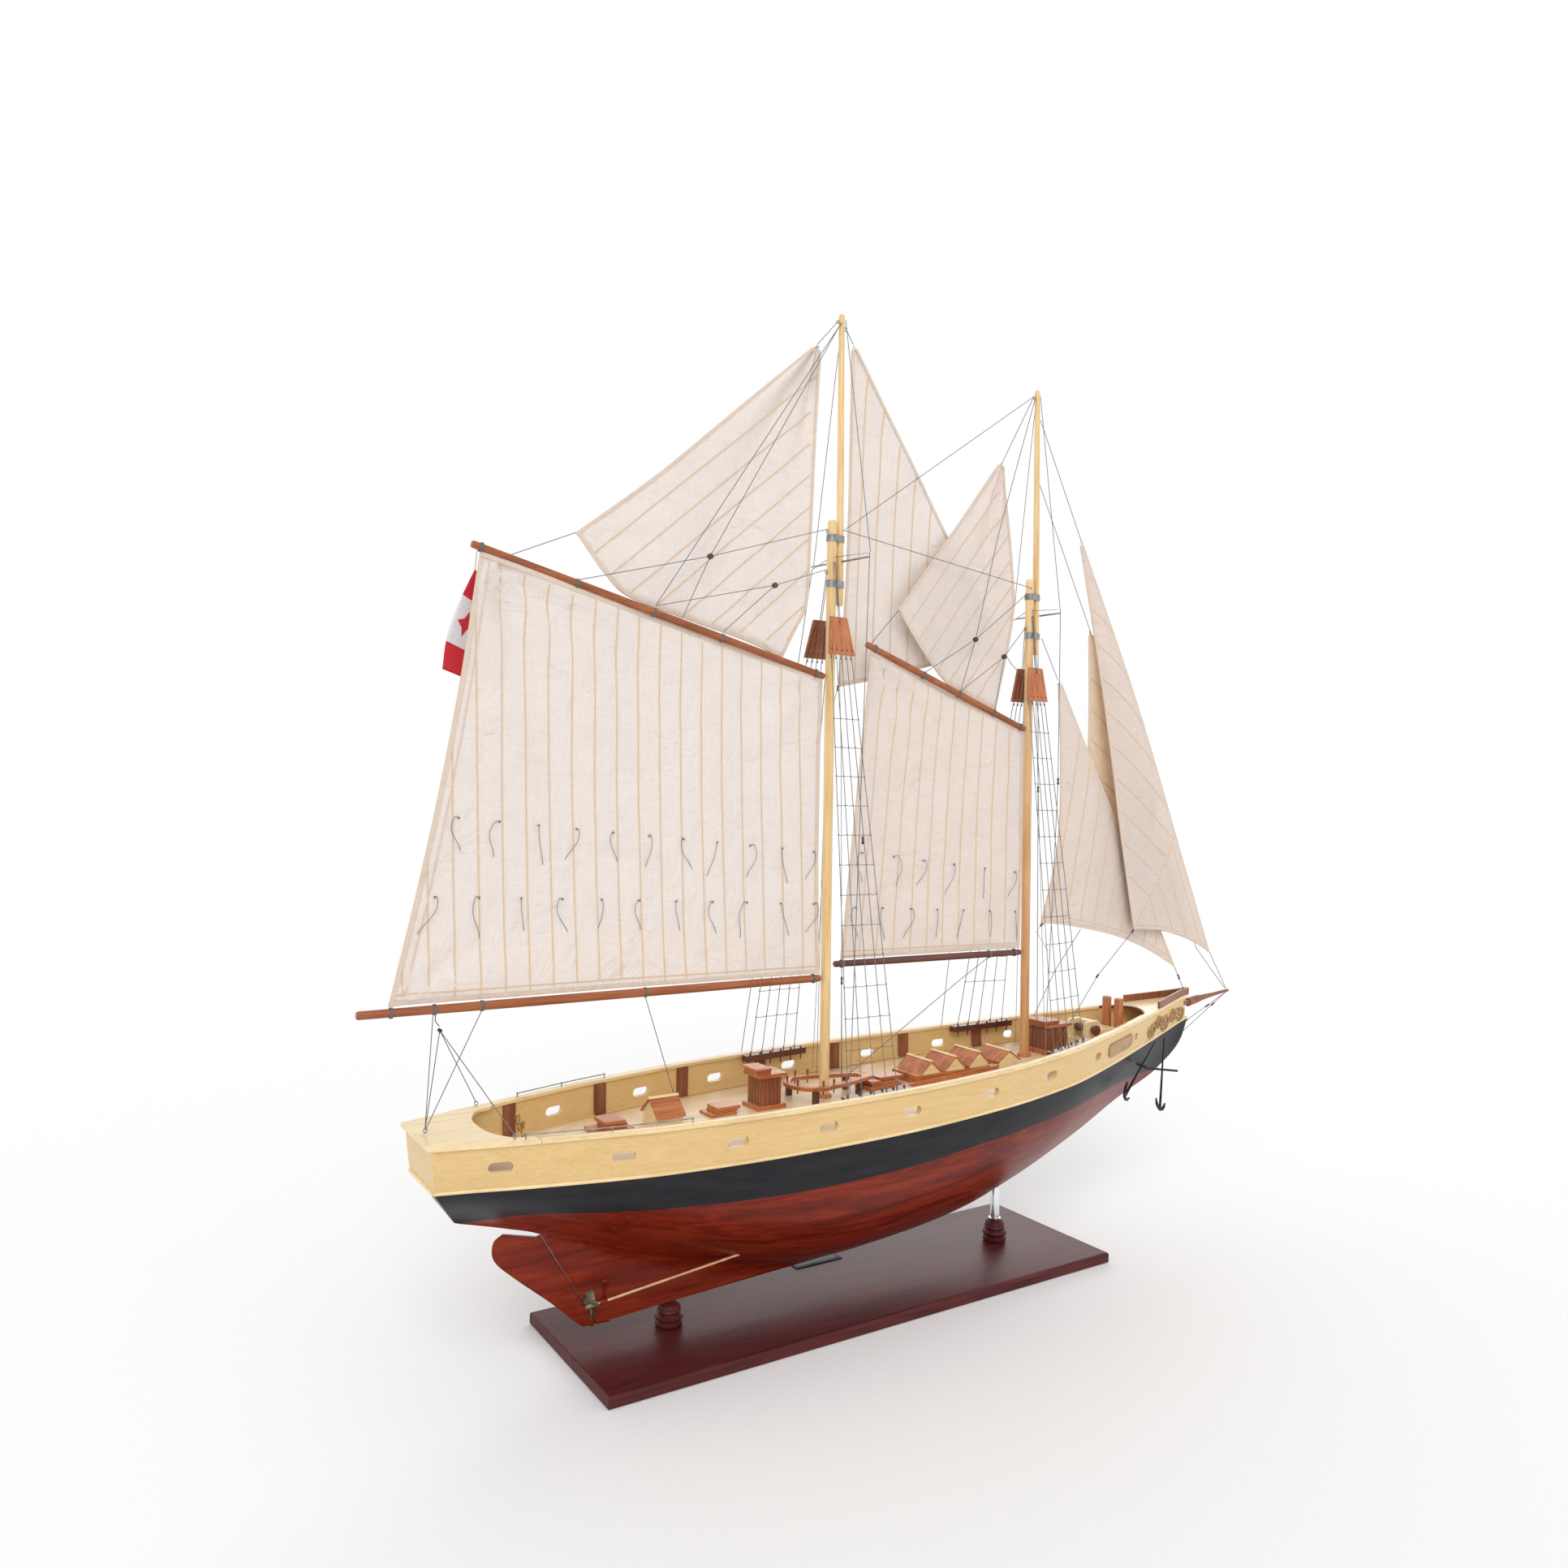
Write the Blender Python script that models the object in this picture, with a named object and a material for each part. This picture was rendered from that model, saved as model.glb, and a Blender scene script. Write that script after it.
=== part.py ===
"""Two-masted gaff schooner: a wooden display model on its stand, with sails set.

All dimensions are in millimetres and become metres when a mesh is made.
Frame: +X to the bow, +Y to port, +Z up. The origin is the centre of the base board's underside.
"""
import math

import bmesh
import bpy
from mathutils import Matrix, Vector

MM = 0.001
GAP = 0.3

# stand
BASE_LENGTH, BASE_WIDTH, BASE_THICKNESS = 508.0, 153.0, 9.4
AFT_POST_X, FORE_POST_X = -168.0, 181.0
POST_TOP, ROD_RADIUS = 30.2, 5.4

# hull: stations along X, with the half breadth and the underside height of the cap rail
HALF_BREADTH = [(-371, 35), (-300, 56), (-200, 80), (-100, 92), (0, 95.5), (100, 91), (200, 76.5),
                (280, 56.5), (350, 36.5), (410, 17), (447, 5.6), (461, 2.4)]
RAIL_Z = [(-371, 184.7), (-300, 185.5), (-200, 187.6), (-100, 190), (0, 192.6), (100, 195.6),
          (200, 200), (280, 205.6), (350, 211.5), (410, 216.5), (461, 221)]
WALE_Z = [(-371, 154), (-300, 155), (-200, 156.8), (-100, 159.3), (0, 162), (100, 165.6),
          (200, 170), (280, 176), (350, 183), (410, 190.5), (461, 199)]
KEEL_Z = [(-342, 122), (-321, 116), (-304, 111), (-274, 100), (-262, 81), (-251, 64), (-240, 47),
          (-230, 26), (-184, 28), (-112, 31), (-8, 35.5), (60, 40), (120, 47.5), (181, 63), (235, 80),
          (285, 98), (350, 126), (396, 143), (418, 154), (442, 170), (457, 190), (461, 198)]
BODY_Z = [(-342, 122), (-321, 116), (-304, 111), (-274, 101), (-240, 88), (-200, 72), (-150, 55),
          (-100, 43), (-50, 36), (-8, 35.5), (60, 40)]
FULLNESS = [(-371, 3.6, 1.7), (-200, 3.2, 1.3), (0, 2.6, 0.85), (200, 2.3, 0.85), (330, 1.7, 0.9),
            (461, 1.3, 0.95)]
STATIONS = [-371, -345, -320, -298, -274, -262, -251, -240, -230, -205, -170, -130, -85, -40, 10,
            60, 110, 160, 205, 245, 285, 320, 350, 380, 405, 425, 442, 454, 461]
TRANSOM_RAKE = 29.0
COUNTER_SHARE = 32.0 / 62.7     # the black counter's part of the stern's height
FIN = 3.2
RAIL_WIDTH, RAIL_THICKNESS, RAIL_OVERHANG = 8.6, 3.0, 1.6
BULWARK_THICKNESS = 5.0
DECK_RISE = [(-371, 4.5), (-110, 5), (-43, 5), (100, 7), (243, 8), (461, 8)]
DECK_CAMBER = [(-371, 9), (-230, 8.5), (-110, 7), (-25, 5), (100, 3.5), (461, 2)]
SLOTS = [(-325, 17), (-243, 17), (-158, 17), (-81, 17), (0, 17), (90, 17), (172, 16), (252, 12),
         (333, 7)]
SLOT_HEIGHT = 7.5

# masts, as foot and head points, and their diameters
MAIN_MAST = ((-22, 172.4), (-26, 669), 8.6)
MAIN_TOPMAST = ((-16.4, 596), (-20.2, 850), 6.4)
FORE_MAST = ((216, 182.6), (212, 647), 8.6)
FORE_TOPMAST = ((221.6, 574), (217.6, 834), 6.4)
BAND_HEIGHT = 7.0

# spars, as aft and fore ends in the centre plane, and their diameters
MAIN_GAFF = ((-341, 605.5), (-31.5, 533.8), 6.0)
MAIN_BOOM = ((-412, 274), (-29.5, 274), 6.6)
FORE_GAFF = ((14, 565.5), (207.5, 500.3), 6.0)
FORE_BOOM = ((-14, 285), (207.5, 283.2), 6.0)
BOWSPRIT_TIP = (532, 222.5)
SAIL_THICKNESS = 1.0

# underwater gear
STRUT_FOOT_Y = 3.3
RUDDER_HINGE = ((-279.0, 99.5), (-233.2, 24.5))
SHAFT_AFT, SHAFT_FORE = (-241, 26.5, 52.4), (-129.6, 26.86, 63.89)
PROPELLER_DIAMETER = 25.0

# rigging
HOUNDS_TOP, HOUNDS_BOTTOM = 17.0, 27.0
SHROUDS = 5
ROPE = 0.9


def smooth_curve(points):
    """Return the smooth function through the given (x, value) points."""
    xs = [p[0] for p in points]
    ys = [p[1] for p in points]
    slopes = [(ys[i + 1] - ys[i]) / (xs[i + 1] - xs[i]) for i in range(len(xs) - 1)]
    tangents = [slopes[0]]
    for before, after in zip(slopes, slopes[1:]):
        same_way = before * after > 0
        tangents.append(2 * before * after / (before + after) if same_way else 0.0)
    tangents.append(slopes[-1])

    def value(x):
        x = min(max(x, xs[0]), xs[-1])
        i = max(k for k in range(len(xs) - 1) if xs[k] <= x)
        h = xs[i + 1] - xs[i]
        t = (x - xs[i]) / h
        a = ys[i] * (1 + 2 * t) * (1 - t) ** 2 + tangents[i] * h * t * (1 - t) ** 2
        return a + ys[i + 1] * t * t * (3 - 2 * t) + tangents[i + 1] * h * t * t * (t - 1)

    return value


half_breadth = smooth_curve(HALF_BREADTH)
rail_z = smooth_curve(RAIL_Z)
wale_z = smooth_curve(WALE_Z)
keel_z = smooth_curve(KEEL_Z)
body_z = smooth_curve(BODY_Z)
deck_rise = smooth_curve(DECK_RISE)
deck_camber = smooth_curve(DECK_CAMBER)
fullness_a = smooth_curve([(f[0], f[1]) for f in FULLNESS])
fullness_b = smooth_curve([(f[0], f[2]) for f in FULLNESS])


def lerp(a, b, t):
    return a + (b - a) * t


def rake_share(t):
    """Return the share of the rake at t: nearly upright above the wale, then raked to the keel."""
    return 0.1 + 0.2 * (1 - t) + 0.7 * max(0.0, 1 - t / COUNTER_SHARE)


def skin(x_top, t):
    """Return (x, half breadth, z) of the hull's outer skin, t running from the keel to the rail."""
    shift = TRANSOM_RAKE * min(max((-274 - x_top) / 97.0, 0.0), 1.0)
    z_low = keel_z(x_top + shift)
    z_top = rail_z(x_top)
    x = x_top + shift * rake_share(t)
    z = lerp(z_low, z_top, t)
    z_body = max(body_z(x) if x < 60 else z_low, z_low)
    breadth = half_breadth(x_top) - RAIL_OVERHANG
    thin = min(FIN, breadth)
    if z <= z_body:
        return x, thin * lerp(0.8, 1.0, t), z
    height = (z - z_body) / (z_top - z_body)
    shape = (1 - (1 - height) ** fullness_a(x_top)) ** fullness_b(x_top)
    return x, thin + (breadth - thin) * shape, z


def level_on_skin(x_top, z):
    """Return the t at which the skin at this station reaches height z."""
    shift = TRANSOM_RAKE * min(max((-274 - x_top) / 97.0, 0.0), 1.0)
    z_low = keel_z(x_top + shift)
    return (z - z_low) / (rail_z(x_top) - z_low)


def deck_z(x, y):
    inside = max(half_breadth(x) - 8, 4)
    return wale_z(x) + deck_rise(x) + deck_camber(x) * (1 - min(abs(y) / inside, 1) ** 2)


# ---- materials and mesh helpers ----

def material(name, colour, roughness, metallic=0.0):
    made = bpy.data.materials.new(name)
    made.use_nodes = True
    shader = made.node_tree.nodes["Principled BSDF"]
    shader.inputs["Base Color"].default_value = (*colour, 1)
    shader.inputs["Roughness"].default_value = roughness
    shader.inputs["Metallic"].default_value = metallic
    return made


def add_mesh(name, points, faces, finish):
    """Make one object from points in millimetres, its origin at the world's."""
    mesh = bpy.data.meshes.new(name)
    mesh.from_pydata([Vector(p) * MM for p in points], [], faces)
    work = bmesh.new()
    work.from_mesh(mesh)
    bmesh.ops.remove_doubles(work, verts=work.verts, dist=0.00001)
    bmesh.ops.recalc_face_normals(work, faces=work.faces)
    work.to_mesh(mesh)
    work.free()
    mesh.materials.append(finish)
    made = bpy.data.objects.new(name, mesh)
    bpy.context.scene.collection.objects.link(made)
    return made


def set_origin(thing, point):
    """Move an object's origin to a point in millimetres and leave its shape in place."""
    place = Vector(point) * MM
    thing.data.transform(Matrix.Translation(-place))
    thing.location = place


def soften(thing, angle=35):
    thing.data.shade_smooth()
    thing.data.set_sharp_from_angle(angle=math.radians(angle))
    return thing


def loft(name, rings, finish):
    """Close a solid through rings that have equal numbers of points."""
    n = len(rings[0])
    points = [p for ring in rings for p in ring]
    faces = []
    for k in range(len(rings) - 1):
        for i in range(n):
            j = (i + 1) % n
            faces.append((k * n + i, k * n + j, (k + 1) * n + j, (k + 1) * n + i))
    faces.append(tuple(range(n)))
    faces.append(tuple((len(rings) - 1) * n + i for i in range(n)))
    return add_mesh(name, points, faces, finish)


def box(name, low, high, finish):
    ring = [(low[0], low[1]), (high[0], low[1]), (high[0], high[1]), (low[0], high[1])]
    return loft(name, [[(x, y, z) for x, y in ring] for z in (low[2], high[2])], finish)


def prism_y(name, outline, low, high, finish):
    """Extrude an outline of (x, z) points from y = low to y = high."""
    return loft(name, [[(x, y, z) for x, z in outline] for y in (low, high)], finish)


def prism_x(name, outline, low, high, finish):
    """Extrude an outline of (y, z) points from x = low to x = high."""
    return loft(name, [[(x, y, z) for y, z in outline] for x in (low, high)], finish)


def frame_along(direction):
    """Return two unit vectors square to a direction."""
    side = direction.cross(Vector((0, 0, 1)))
    if side.length < 0.01:
        side = direction.cross(Vector((0, 1, 0)))
    side.normalize()
    return side, direction.cross(side).normalized()


def rod(name, points, radii, sides, finish):
    """Make a round bar through the points, with a radius at each."""
    points = [Vector(p) for p in points]
    rings = []
    for k, point in enumerate(points):
        ahead = points[min(k + 1, len(points) - 1)] - points[max(k - 1, 0)]
        side, up = frame_along(ahead.normalized())
        turn = [2 * math.pi * i / sides for i in range(sides)]
        rings.append([point + radii[k] * (math.cos(a) * side + math.sin(a) * up) for a in turn])
    return soften(loft(name, rings, finish), 50)


def turned(name, profile, centre, sides, finish):
    """Turn a profile of (radius, z) points, listed from the bottom up, about a vertical axis."""
    rings = []
    for radius, z in profile:
        turn = [2 * math.pi * i / sides for i in range(sides)]
        rings.append([(centre[0] + radius * math.cos(a), centre[1] + radius * math.sin(a), z)
                      for a in turn])
    return soften(loft(name, rings, finish))


def as_tool(tool):
    tool.hide_render = True
    tool.display_type = 'WIRE'
    tool.hide_set(True)


def combine(target, tool, operation):
    made = target.modifiers.new(tool.name, 'BOOLEAN')
    made.operation = operation
    made.solver = 'EXACT'
    made.object = tool
    as_tool(tool)
    return target


def fuse(target, *tools):
    for tool in tools:
        combine(target, tool, 'UNION')
    return target


def sheet(name, aft_edge, fore_edge, columns, belly, finish, thickness=SAIL_THICKNESS):
    """Make a thin sail between two edges, each a list of (x, y, z), bellied out to port."""
    rows = len(aft_edge)
    sides = []
    for face in (-0.5, 0.5):
        for k in range(rows):
            for i in range(columns + 1):
                u = i / columns
                a, b = Vector(aft_edge[k]), Vector(fore_edge[k])
                swell = belly * 4 * u * (1 - u) * math.sin(math.pi * (0.12 + 0.76 * k / (rows - 1)))
                sides.append(a.lerp(b, u) + Vector((0, swell + face * thickness, 0)))
    wide = columns + 1
    count = rows * wide
    faces = []
    for k in range(rows - 1):
        for i in range(columns):
            quad = (k * wide + i, k * wide + i + 1, (k + 1) * wide + i + 1, (k + 1) * wide + i)
            faces.append(quad)
            faces.append(tuple(count + v for v in reversed(quad)))
    border = [i for i in range(wide)]
    border += [k * wide + columns for k in range(1, rows)]
    border += [(rows - 1) * wide + i for i in range(columns - 1, -1, -1)]
    border += [k * wide for k in range(rows - 2, 0, -1)]
    for a, b in zip(border, border[1:] + border[:1]):
        faces.append((a, b, count + b, count + a))
    return soften(add_mesh(name, sides, faces, finish), 60)


def edge_through(points, rows):
    """Return `rows` points spaced evenly by their order along a broken line."""
    found = []
    for k in range(rows):
        s = k / (rows - 1) * (len(points) - 1)
        i = min(int(s), len(points) - 2)
        found.append(Vector(points[i]).lerp(Vector(points[i + 1]), s - i))
    return found


# ---- hull ----

def make_hull(finish):
    rows = 10
    rings = []
    for x in STATIONS:
        t_wale = level_on_skin(x, wale_z(x))
        half = []
        for k in range(rows + 1):
            part = (k / rows) ** 1.15 if x > -230 else k / rows
            half.append(skin(x, t_wale * part))
        starboard = [(p[0], -p[1], p[2]) for p in reversed(half)]
        port = [(p[0], p[1], p[2]) for p in half]
        rings.append(starboard + port)
    return soften(loft("hull", rings, finish), 40)


def inner_wall(x, z):
    """Return (x, y) of the bulwark's inner face at height z, at the station x."""
    spread = rail_z(x) - wale_z(x) - 2 * GAP
    level = min(max((z - wale_z(x) - GAP) / spread, 0), 1)
    near, far = (0.0, 0.5) if level < 0.5 else (0.5, 1.0)
    ends = [skin(x, level_on_skin(x, wale_z(x) + GAP + spread * k)) for k in (near, far)]
    share = (level - near) * 2
    return lerp(ends[0][0], ends[1][0], share), lerp(ends[0][1], ends[1][1], share) - BULWARK_THICKNESS


def make_deck(finish):
    """Make the deck as a cambered slab between the bulwarks, down to the wale."""
    spread = (-1, -0.6, -0.2, 0.2, 0.6, 1)
    rings = []
    for x in [STATIONS[0] + 8] + [x for x in STATIONS[1:] if x < 430]:
        z_edge = wale_z(x) + deck_rise(x)
        x_top, wide_top = inner_wall(x, z_edge)
        x_low, wide_low = inner_wall(x, wale_z(x) + GAP)
        top = [(x_top, (wide_top - 2 * GAP) * s, deck_z(x, wide_top * s)) for s in spread]
        low = [(x_low, (wide_low - 2 * GAP) * s, wale_z(x) + GAP) for s in reversed(spread)]
        rings.append(top + low)
    return loft("deck", rings, finish)


def bulwark(side, finish):
    """Make one side's bulwark, from the wale to the cap rail, with its freeing ports cut."""
    name = "bulwark_port" if side > 0 else "bulwark_starboard"
    rings = []
    for x in STATIONS:
        if x > 454:
            continue
        ring = []
        for inset, levels in ((0, (0.0, 0.5, 1.0)), (BULWARK_THICKNESS, (1.0, 0.5, 0.0))):
            for level in levels:
                z = lerp(wale_z(x) + GAP, rail_z(x) - GAP, level)
                px, py, pz = skin(x, level_on_skin(x, z))
                inner = max(py - inset, GAP / 2) if inset else py
                ring.append((px, side * inner, pz))
        rings.append(ring)
    made = soften(loft(name, rings, finish), 40)
    for number, (x, length) in enumerate(SLOTS):
        z = slot_z(x)
        y = half_breadth(x) - RAIL_OVERHANG
        slope = (half_breadth(x + 2) - half_breadth(x - 2)) / 4
        along = Vector((1, side * slope, 0.03)).normalized()
        outward = Vector((-side * slope, 1, 0)).normalized() * side
        up = Vector((0, 0, 1))
        outline = capsule(length, min(SLOT_HEIGHT, length))
        centre = Vector((x, side * y, z))
        rings = [[centre + along * a + up * b + outward * reach for a, b in outline]
                 for reach in (-12, 6)]
        tool = loft(f"cut_{name}_{number}", rings, finish)
        combine(made, tool, 'DIFFERENCE')
    return made


def slot_z(x):
    return lerp(wale_z(x), rail_z(x), 0.53)


def capsule(length, height):
    """Return the outline of a slot with round ends."""
    radius = height / 2
    run = max(length / 2 - radius, 0.01)
    turn = [math.radians(a) for a in (-90, -45, 0, 45, 90)]
    right = [(run + radius * math.cos(a), radius * math.sin(a)) for a in turn]
    return right + [(-x, -y) for x, y in right]


def make_transom(finish):
    rings = []
    for level in (0.02, 0.5, 0.98):
        ring = []
        for x, s in ((-371, -1), (-371, 1), (-366.5, 1), (-366.5, -1)):
            z = lerp(wale_z(x) + GAP, rail_z(x) - GAP, level)
            px, py, pz = skin(x, level_on_skin(x, z))
            ring.append((px, s * (py - BULWARK_THICKNESS - GAP), pz))
        rings.append(ring)
    return loft("transom", rings, finish)


def plank_rings(stations, inner, outer, low, high):
    """Return rings of a flat plank that follows a curved side."""
    return [[(x, outer(x), high(x)), (x, inner(x), high(x)), (x, inner(x), low(x)), (x, outer(x), low(x))]
            for x in stations]


def rail_top(x):
    return rail_z(x) + RAIL_THICKNESS


def cap_rail(side, finish):
    name = "cap_rail_port" if side > 0 else "cap_rail_starboard"
    stations = [-298.5] + [x for x in STATIONS if -290 < x < 350] + [352.0]
    rings = plank_rings(stations, lambda x: side * (half_breadth(x) - RAIL_WIDTH),
                        lambda x: side * half_breadth(x), rail_z, rail_top)
    return loft(name, rings, finish)


def stern_platform(finish):
    """Make the board that closes the stern, with its hollow forward edge."""
    outline = [(-371.5, -35), (-350, -41.6), (-325, -49), (-299, -56.3), (-299, -46), (-308, -43),
               (-318, -34), (-324, -20), (-326, 0)]
    outline += [(x, -y) for x, y in reversed(outline[:-1])]
    low = [(x, y, rail_z(x)) for x, y in outline]
    high = [(x, y, rail_top(x)) for x, y in outline]
    return loft("stern_platform", [low, high], finish)


def foredeck_platform(finish):
    """Make the board that closes the bow, with its hollow after edge."""
    edge = [353, 380, 405, 425, 442, 454, 461]
    outline = [(x, -half_breadth(x)) for x in edge]
    outline += [(x, half_breadth(x)) for x in reversed(edge)]
    hollow = [(353, 29), (361, 25), (370, 16), (375.5, 6), (376.5, 0)]
    outline += hollow
    outline += [(x, -y) for x, y in reversed(hollow[:-1])]
    low = [(x, y, rail_z(x)) for x, y in outline]
    high = [(x, y, rail_top(x)) for x, y in outline]
    return loft("foredeck_platform", [low, high], finish)


def make_bow_rail(finish):
    """Make the two timbers that stand on the foredeck's edges and meet over the stem."""
    inner, outer = 3.4, 0.6
    stations = (386, 405, 425, 440)
    port = [(x, half_breadth(x) - outer) for x in stations]
    port_in = [(x, half_breadth(x) - inner - outer) for x in stations]
    outline = port + [(460.5, 2.6), (460.5, -2.6)] + [(x, -y) for x, y in reversed(port)]
    outline += [(x, -y) for x, y in port_in] + [(446, 0)] + [(x, y) for x, y in reversed(port_in)]
    low = [(x, y, rail_top(x) + GAP) for x, y in outline]
    high = [(x, y, rail_top(x) + 7.2) for x, y in outline]
    return loft("bow_rail", [low, high], finish)


def make_bowsprit(finish):
    x_tip, z_tip = BOWSPRIT_TIP
    rings = []
    for x, z, half_width, half_height in ((462.4, 214.4, 4.6, 4.6), (485, 217.6, 3.4, 3.2),
                                          (505, 219.8, 2.0, 2.0), (x_tip, z_tip, 1.7, 1.7)):
        turn = [math.pi * (i + 0.5) / 4 for i in range(8)]
        rings.append([(x, half_width * math.cos(a), z + half_height * math.sin(a)) for a in turn])
    return soften(loft("bowsprit", rings, finish), 50)


# ---- underwater gear ----

def make_rudder(finish):
    """Make the rudder as a plate behind its raked hinge line, with a round nose."""
    top, heel = Vector((RUDDER_HINGE[0][0], 0, RUDDER_HINGE[0][1])), Vector(
        (RUDDER_HINGE[1][0], 0, RUDDER_HINGE[1][1]))
    trail = [(-305.5, 106.5), (-313.5, 99.5), (-311, 88), (-296, 72.5), (-267, 48), (-249, 31),
             (-241.5, 25)]
    hinge = [0.0, 0.09, 0.22, 0.42, 0.7, 0.9, 0.985]
    nose, half = 2.0, 2.0
    across = Vector((0.839, 0, 0.544))
    rings = []
    for (tx, tz), s in zip(trail, hinge):
        line = top.lerp(heel, s)
        end = Vector((tx, 0, tz))
        rings.append([line + across * nose, line + Vector((0, half, 0)), end + Vector((0, 0.9, 0)),
                      end + Vector((0, -0.9, 0)), line + Vector((0, -half, 0))])
    made = soften(loft("rudder", rings, finish), 40)
    set_origin(made, top)
    return made


def shaft(side, finish):
    """Make a propeller shaft in its tube, with the strut that holds it to the hull."""
    name = "shaft_port" if side > 0 else "shaft_starboard"
    aft = (SHAFT_AFT[0], side * SHAFT_AFT[1], SHAFT_AFT[2])
    x, y, z = SHAFT_FORE
    fore = (x, side * y, z)
    made = rod(name, [aft, fore], [1.7, 1.7], 8, finish)
    strut_foot = (-225, side * STRUT_FOOT_Y, 56)
    strut = rod(f"strut_{name}", [(-237, side * 26.5, 52.8), strut_foot], [1.5, 1.5], 6, finish)
    return fuse(made, strut)


def propeller(side, finish):
    name = "propeller_port" if side > 0 else "propeller_starboard"
    along = (Vector(SHAFT_FORE) - Vector(SHAFT_AFT)).normalized()
    along.y *= side
    centre = Vector((SHAFT_AFT[0], side * SHAFT_AFT[1], SHAFT_AFT[2])) - along * 4.6
    hub = rod(name, [centre - along * 4.5, centre - along * 2, centre + along * 4],
              [1.2, 2.6, 2.6], 10, finish)
    across, up = frame_along(along)
    for number in range(3):
        angle = math.radians(120 * number + 90)
        out = math.cos(angle) * across + math.sin(angle) * up
        sweep = along.cross(out)
        rings = []
        for reach, chord, pitch in ((1.5, 2.4, 60), (5.0, 4.6, 46), (9.0, 5.2, 36), (12.2, 2.2, 30)):
            blade = math.cos(math.radians(pitch)) * sweep + math.sin(math.radians(pitch)) * along
            flat = out.cross(blade).normalized() * 0.45
            middle = centre + out * reach
            rings.append([middle - blade * chord + flat, middle + blade * chord + flat,
                          middle + blade * chord - flat, middle - blade * chord - flat])
        fuse(hub, loft(f"blade_{name}_{number}", rings, finish))
    set_origin(hub, centre)
    return hub


# ---- stand ----

def make_base(finish):
    x, y = BASE_LENGTH / 2, BASE_WIDTH / 2
    made = box("base_board", (-x, -y, 0), (x, y, BASE_THICKNESS), finish)
    edge = made.modifiers.new("soft_edge", 'BEVEL')
    edge.width = 0.0006
    edge.segments = 1
    return made


def make_post(name, x, height, sides, finish):
    """Turn one of the stand's two posts."""
    foot = BASE_THICKNESS + GAP
    profile = [(9.6, 0.0), (10.6, 0.07), (10.6, 0.2), (9.0, 0.26), (11.4, 0.36), (11.4, 0.44),
               (9.4, 0.5), (8.6, 0.56), (10.0, 0.63), (9.2, 0.7), (8.8, 0.82), (7.2, 0.93), (4.4, 1.0)]
    return turned(name, [(r, foot + h * height) for r, h in profile], (x, 0), sides, finish)


# ---- deck fittings ----

def on_deck(x, y=0.0):
    return deck_z(x, y) + 2 * GAP


def block(name, ends, half, top, finish, low=None):
    """Make a box that stands on the deck, with its level top the given height above its middle."""
    x0, x1 = ends
    height = on_deck((x0 + x1) / 2) + top
    feet = (on_deck(x0), on_deck(x1)) if low is None else (height - top + low,) * 2
    outline = [(x0, feet[0]), (x1, feet[1]), (x1, height), (x0, height)]
    y0, y1 = half if isinstance(half, tuple) else (-half, half)
    return prism_y(name, outline, y0, y1, finish)


def gabled(name, ends, half, height, wall, eave, finish):
    """Make a house with a pitched roof whose ridge runs fore and aft."""
    x0, x1 = ends
    rings = []
    for x in (x0, x1):
        foot = on_deck(x)
        eaves, ridge = on_deck((x0 + x1) / 2) + wall, on_deck((x0 + x1) / 2) + height
        rings.append([(x, -half, foot), (x, half, foot), (x, half, eaves - 1), (x, half + eave, eaves - 2),
                      (x, half + eave, eaves), (x, 0, ridge), (x, -half - eave, eaves),
                      (x, -half - eave, eaves - 2), (x, -half, eaves - 1)])
    return loft(name, rings, finish)


def stern_hatch(finish):
    made = block("stern_hatch", (-238, -206), (-9, 14), 4.6, finish)
    return fuse(made, block("stern_hatch_lid", (-228, -212), (-7, 10), 9.6, finish, 4))


def aft_house(finish):
    return gabled("aft_house", (-190, -164), 13, 21, 10, 2.4, finish)


def hatch_box(finish):
    made = block("hatch_box", (-139, -115), 10, 3.0, finish)
    return fuse(made, block("hatch_box_lid", (-134, -111), (-9, 8), 6.5, finish, 2.8))


def companionway(finish):
    made = block("companionway", (-96, -70), 11.5, 28, finish)
    foot = block("companionway_foot", (-102, -65), 13.5, 3.5, finish)
    head = block("companionway_head", (-98, -67), 14.5, 31, finish, 27.5)
    lid = block("companionway_lid", (-104, -81), 12.5, 35, finish, 30.5)
    return fuse(made, foot, head, lid)


def teardrop(reach, aft, fore, tip):
    """Return a loop, round aft and narrowing forward."""
    turn = [math.radians(a) for a in range(100, 261, 20)]
    loop = [(aft + reach + reach * math.cos(a), reach * math.sin(a)) for a in turn]
    return loop + [(lerp(aft + reach, fore, 0.5), -lerp(reach, tip, 0.45)), (fore, -tip), (fore, tip),
                   (lerp(aft + reach, fore, 0.5), lerp(reach, tip, 0.45))]


def fife_rail(finish):
    """Make the belaying rail that goes round the main mast, on its four legs."""
    z = 183.0
    outer = teardrop(25, -60, 24, 9)
    inner = teardrop(18, -53, 15, 3.5)
    n = len(outer)
    points = []
    for level in (z, z + 3.4):
        points += [(x, y, level) for x, y in outer]
        points += [(x, y, level) for x, y in inner]
    faces = []
    for i in range(n):
        j = (i + 1) % n
        faces.append((i, j, n + j, n + i))
        faces.append((2 * n + i, 3 * n + i, 3 * n + j, 2 * n + j))
        faces.append((i, 2 * n + i, 2 * n + j, j))
        faces.append((n + i, n + j, 3 * n + j, 3 * n + i))
    made = add_mesh("fife_rail", points, faces, finish)
    for number, (x, y) in enumerate(((-45, -20.5), (-45, 20.5), (8, -10), (8, 10))):
        foot = on_deck(x, y) + GAP
        leg = box(f"fife_leg_{number}", (x - 2.5, y - 2.2, foot), (x + 2.5, y + 2.2, z + 1.5), finish)
        fuse(made, leg)
    return made


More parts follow.
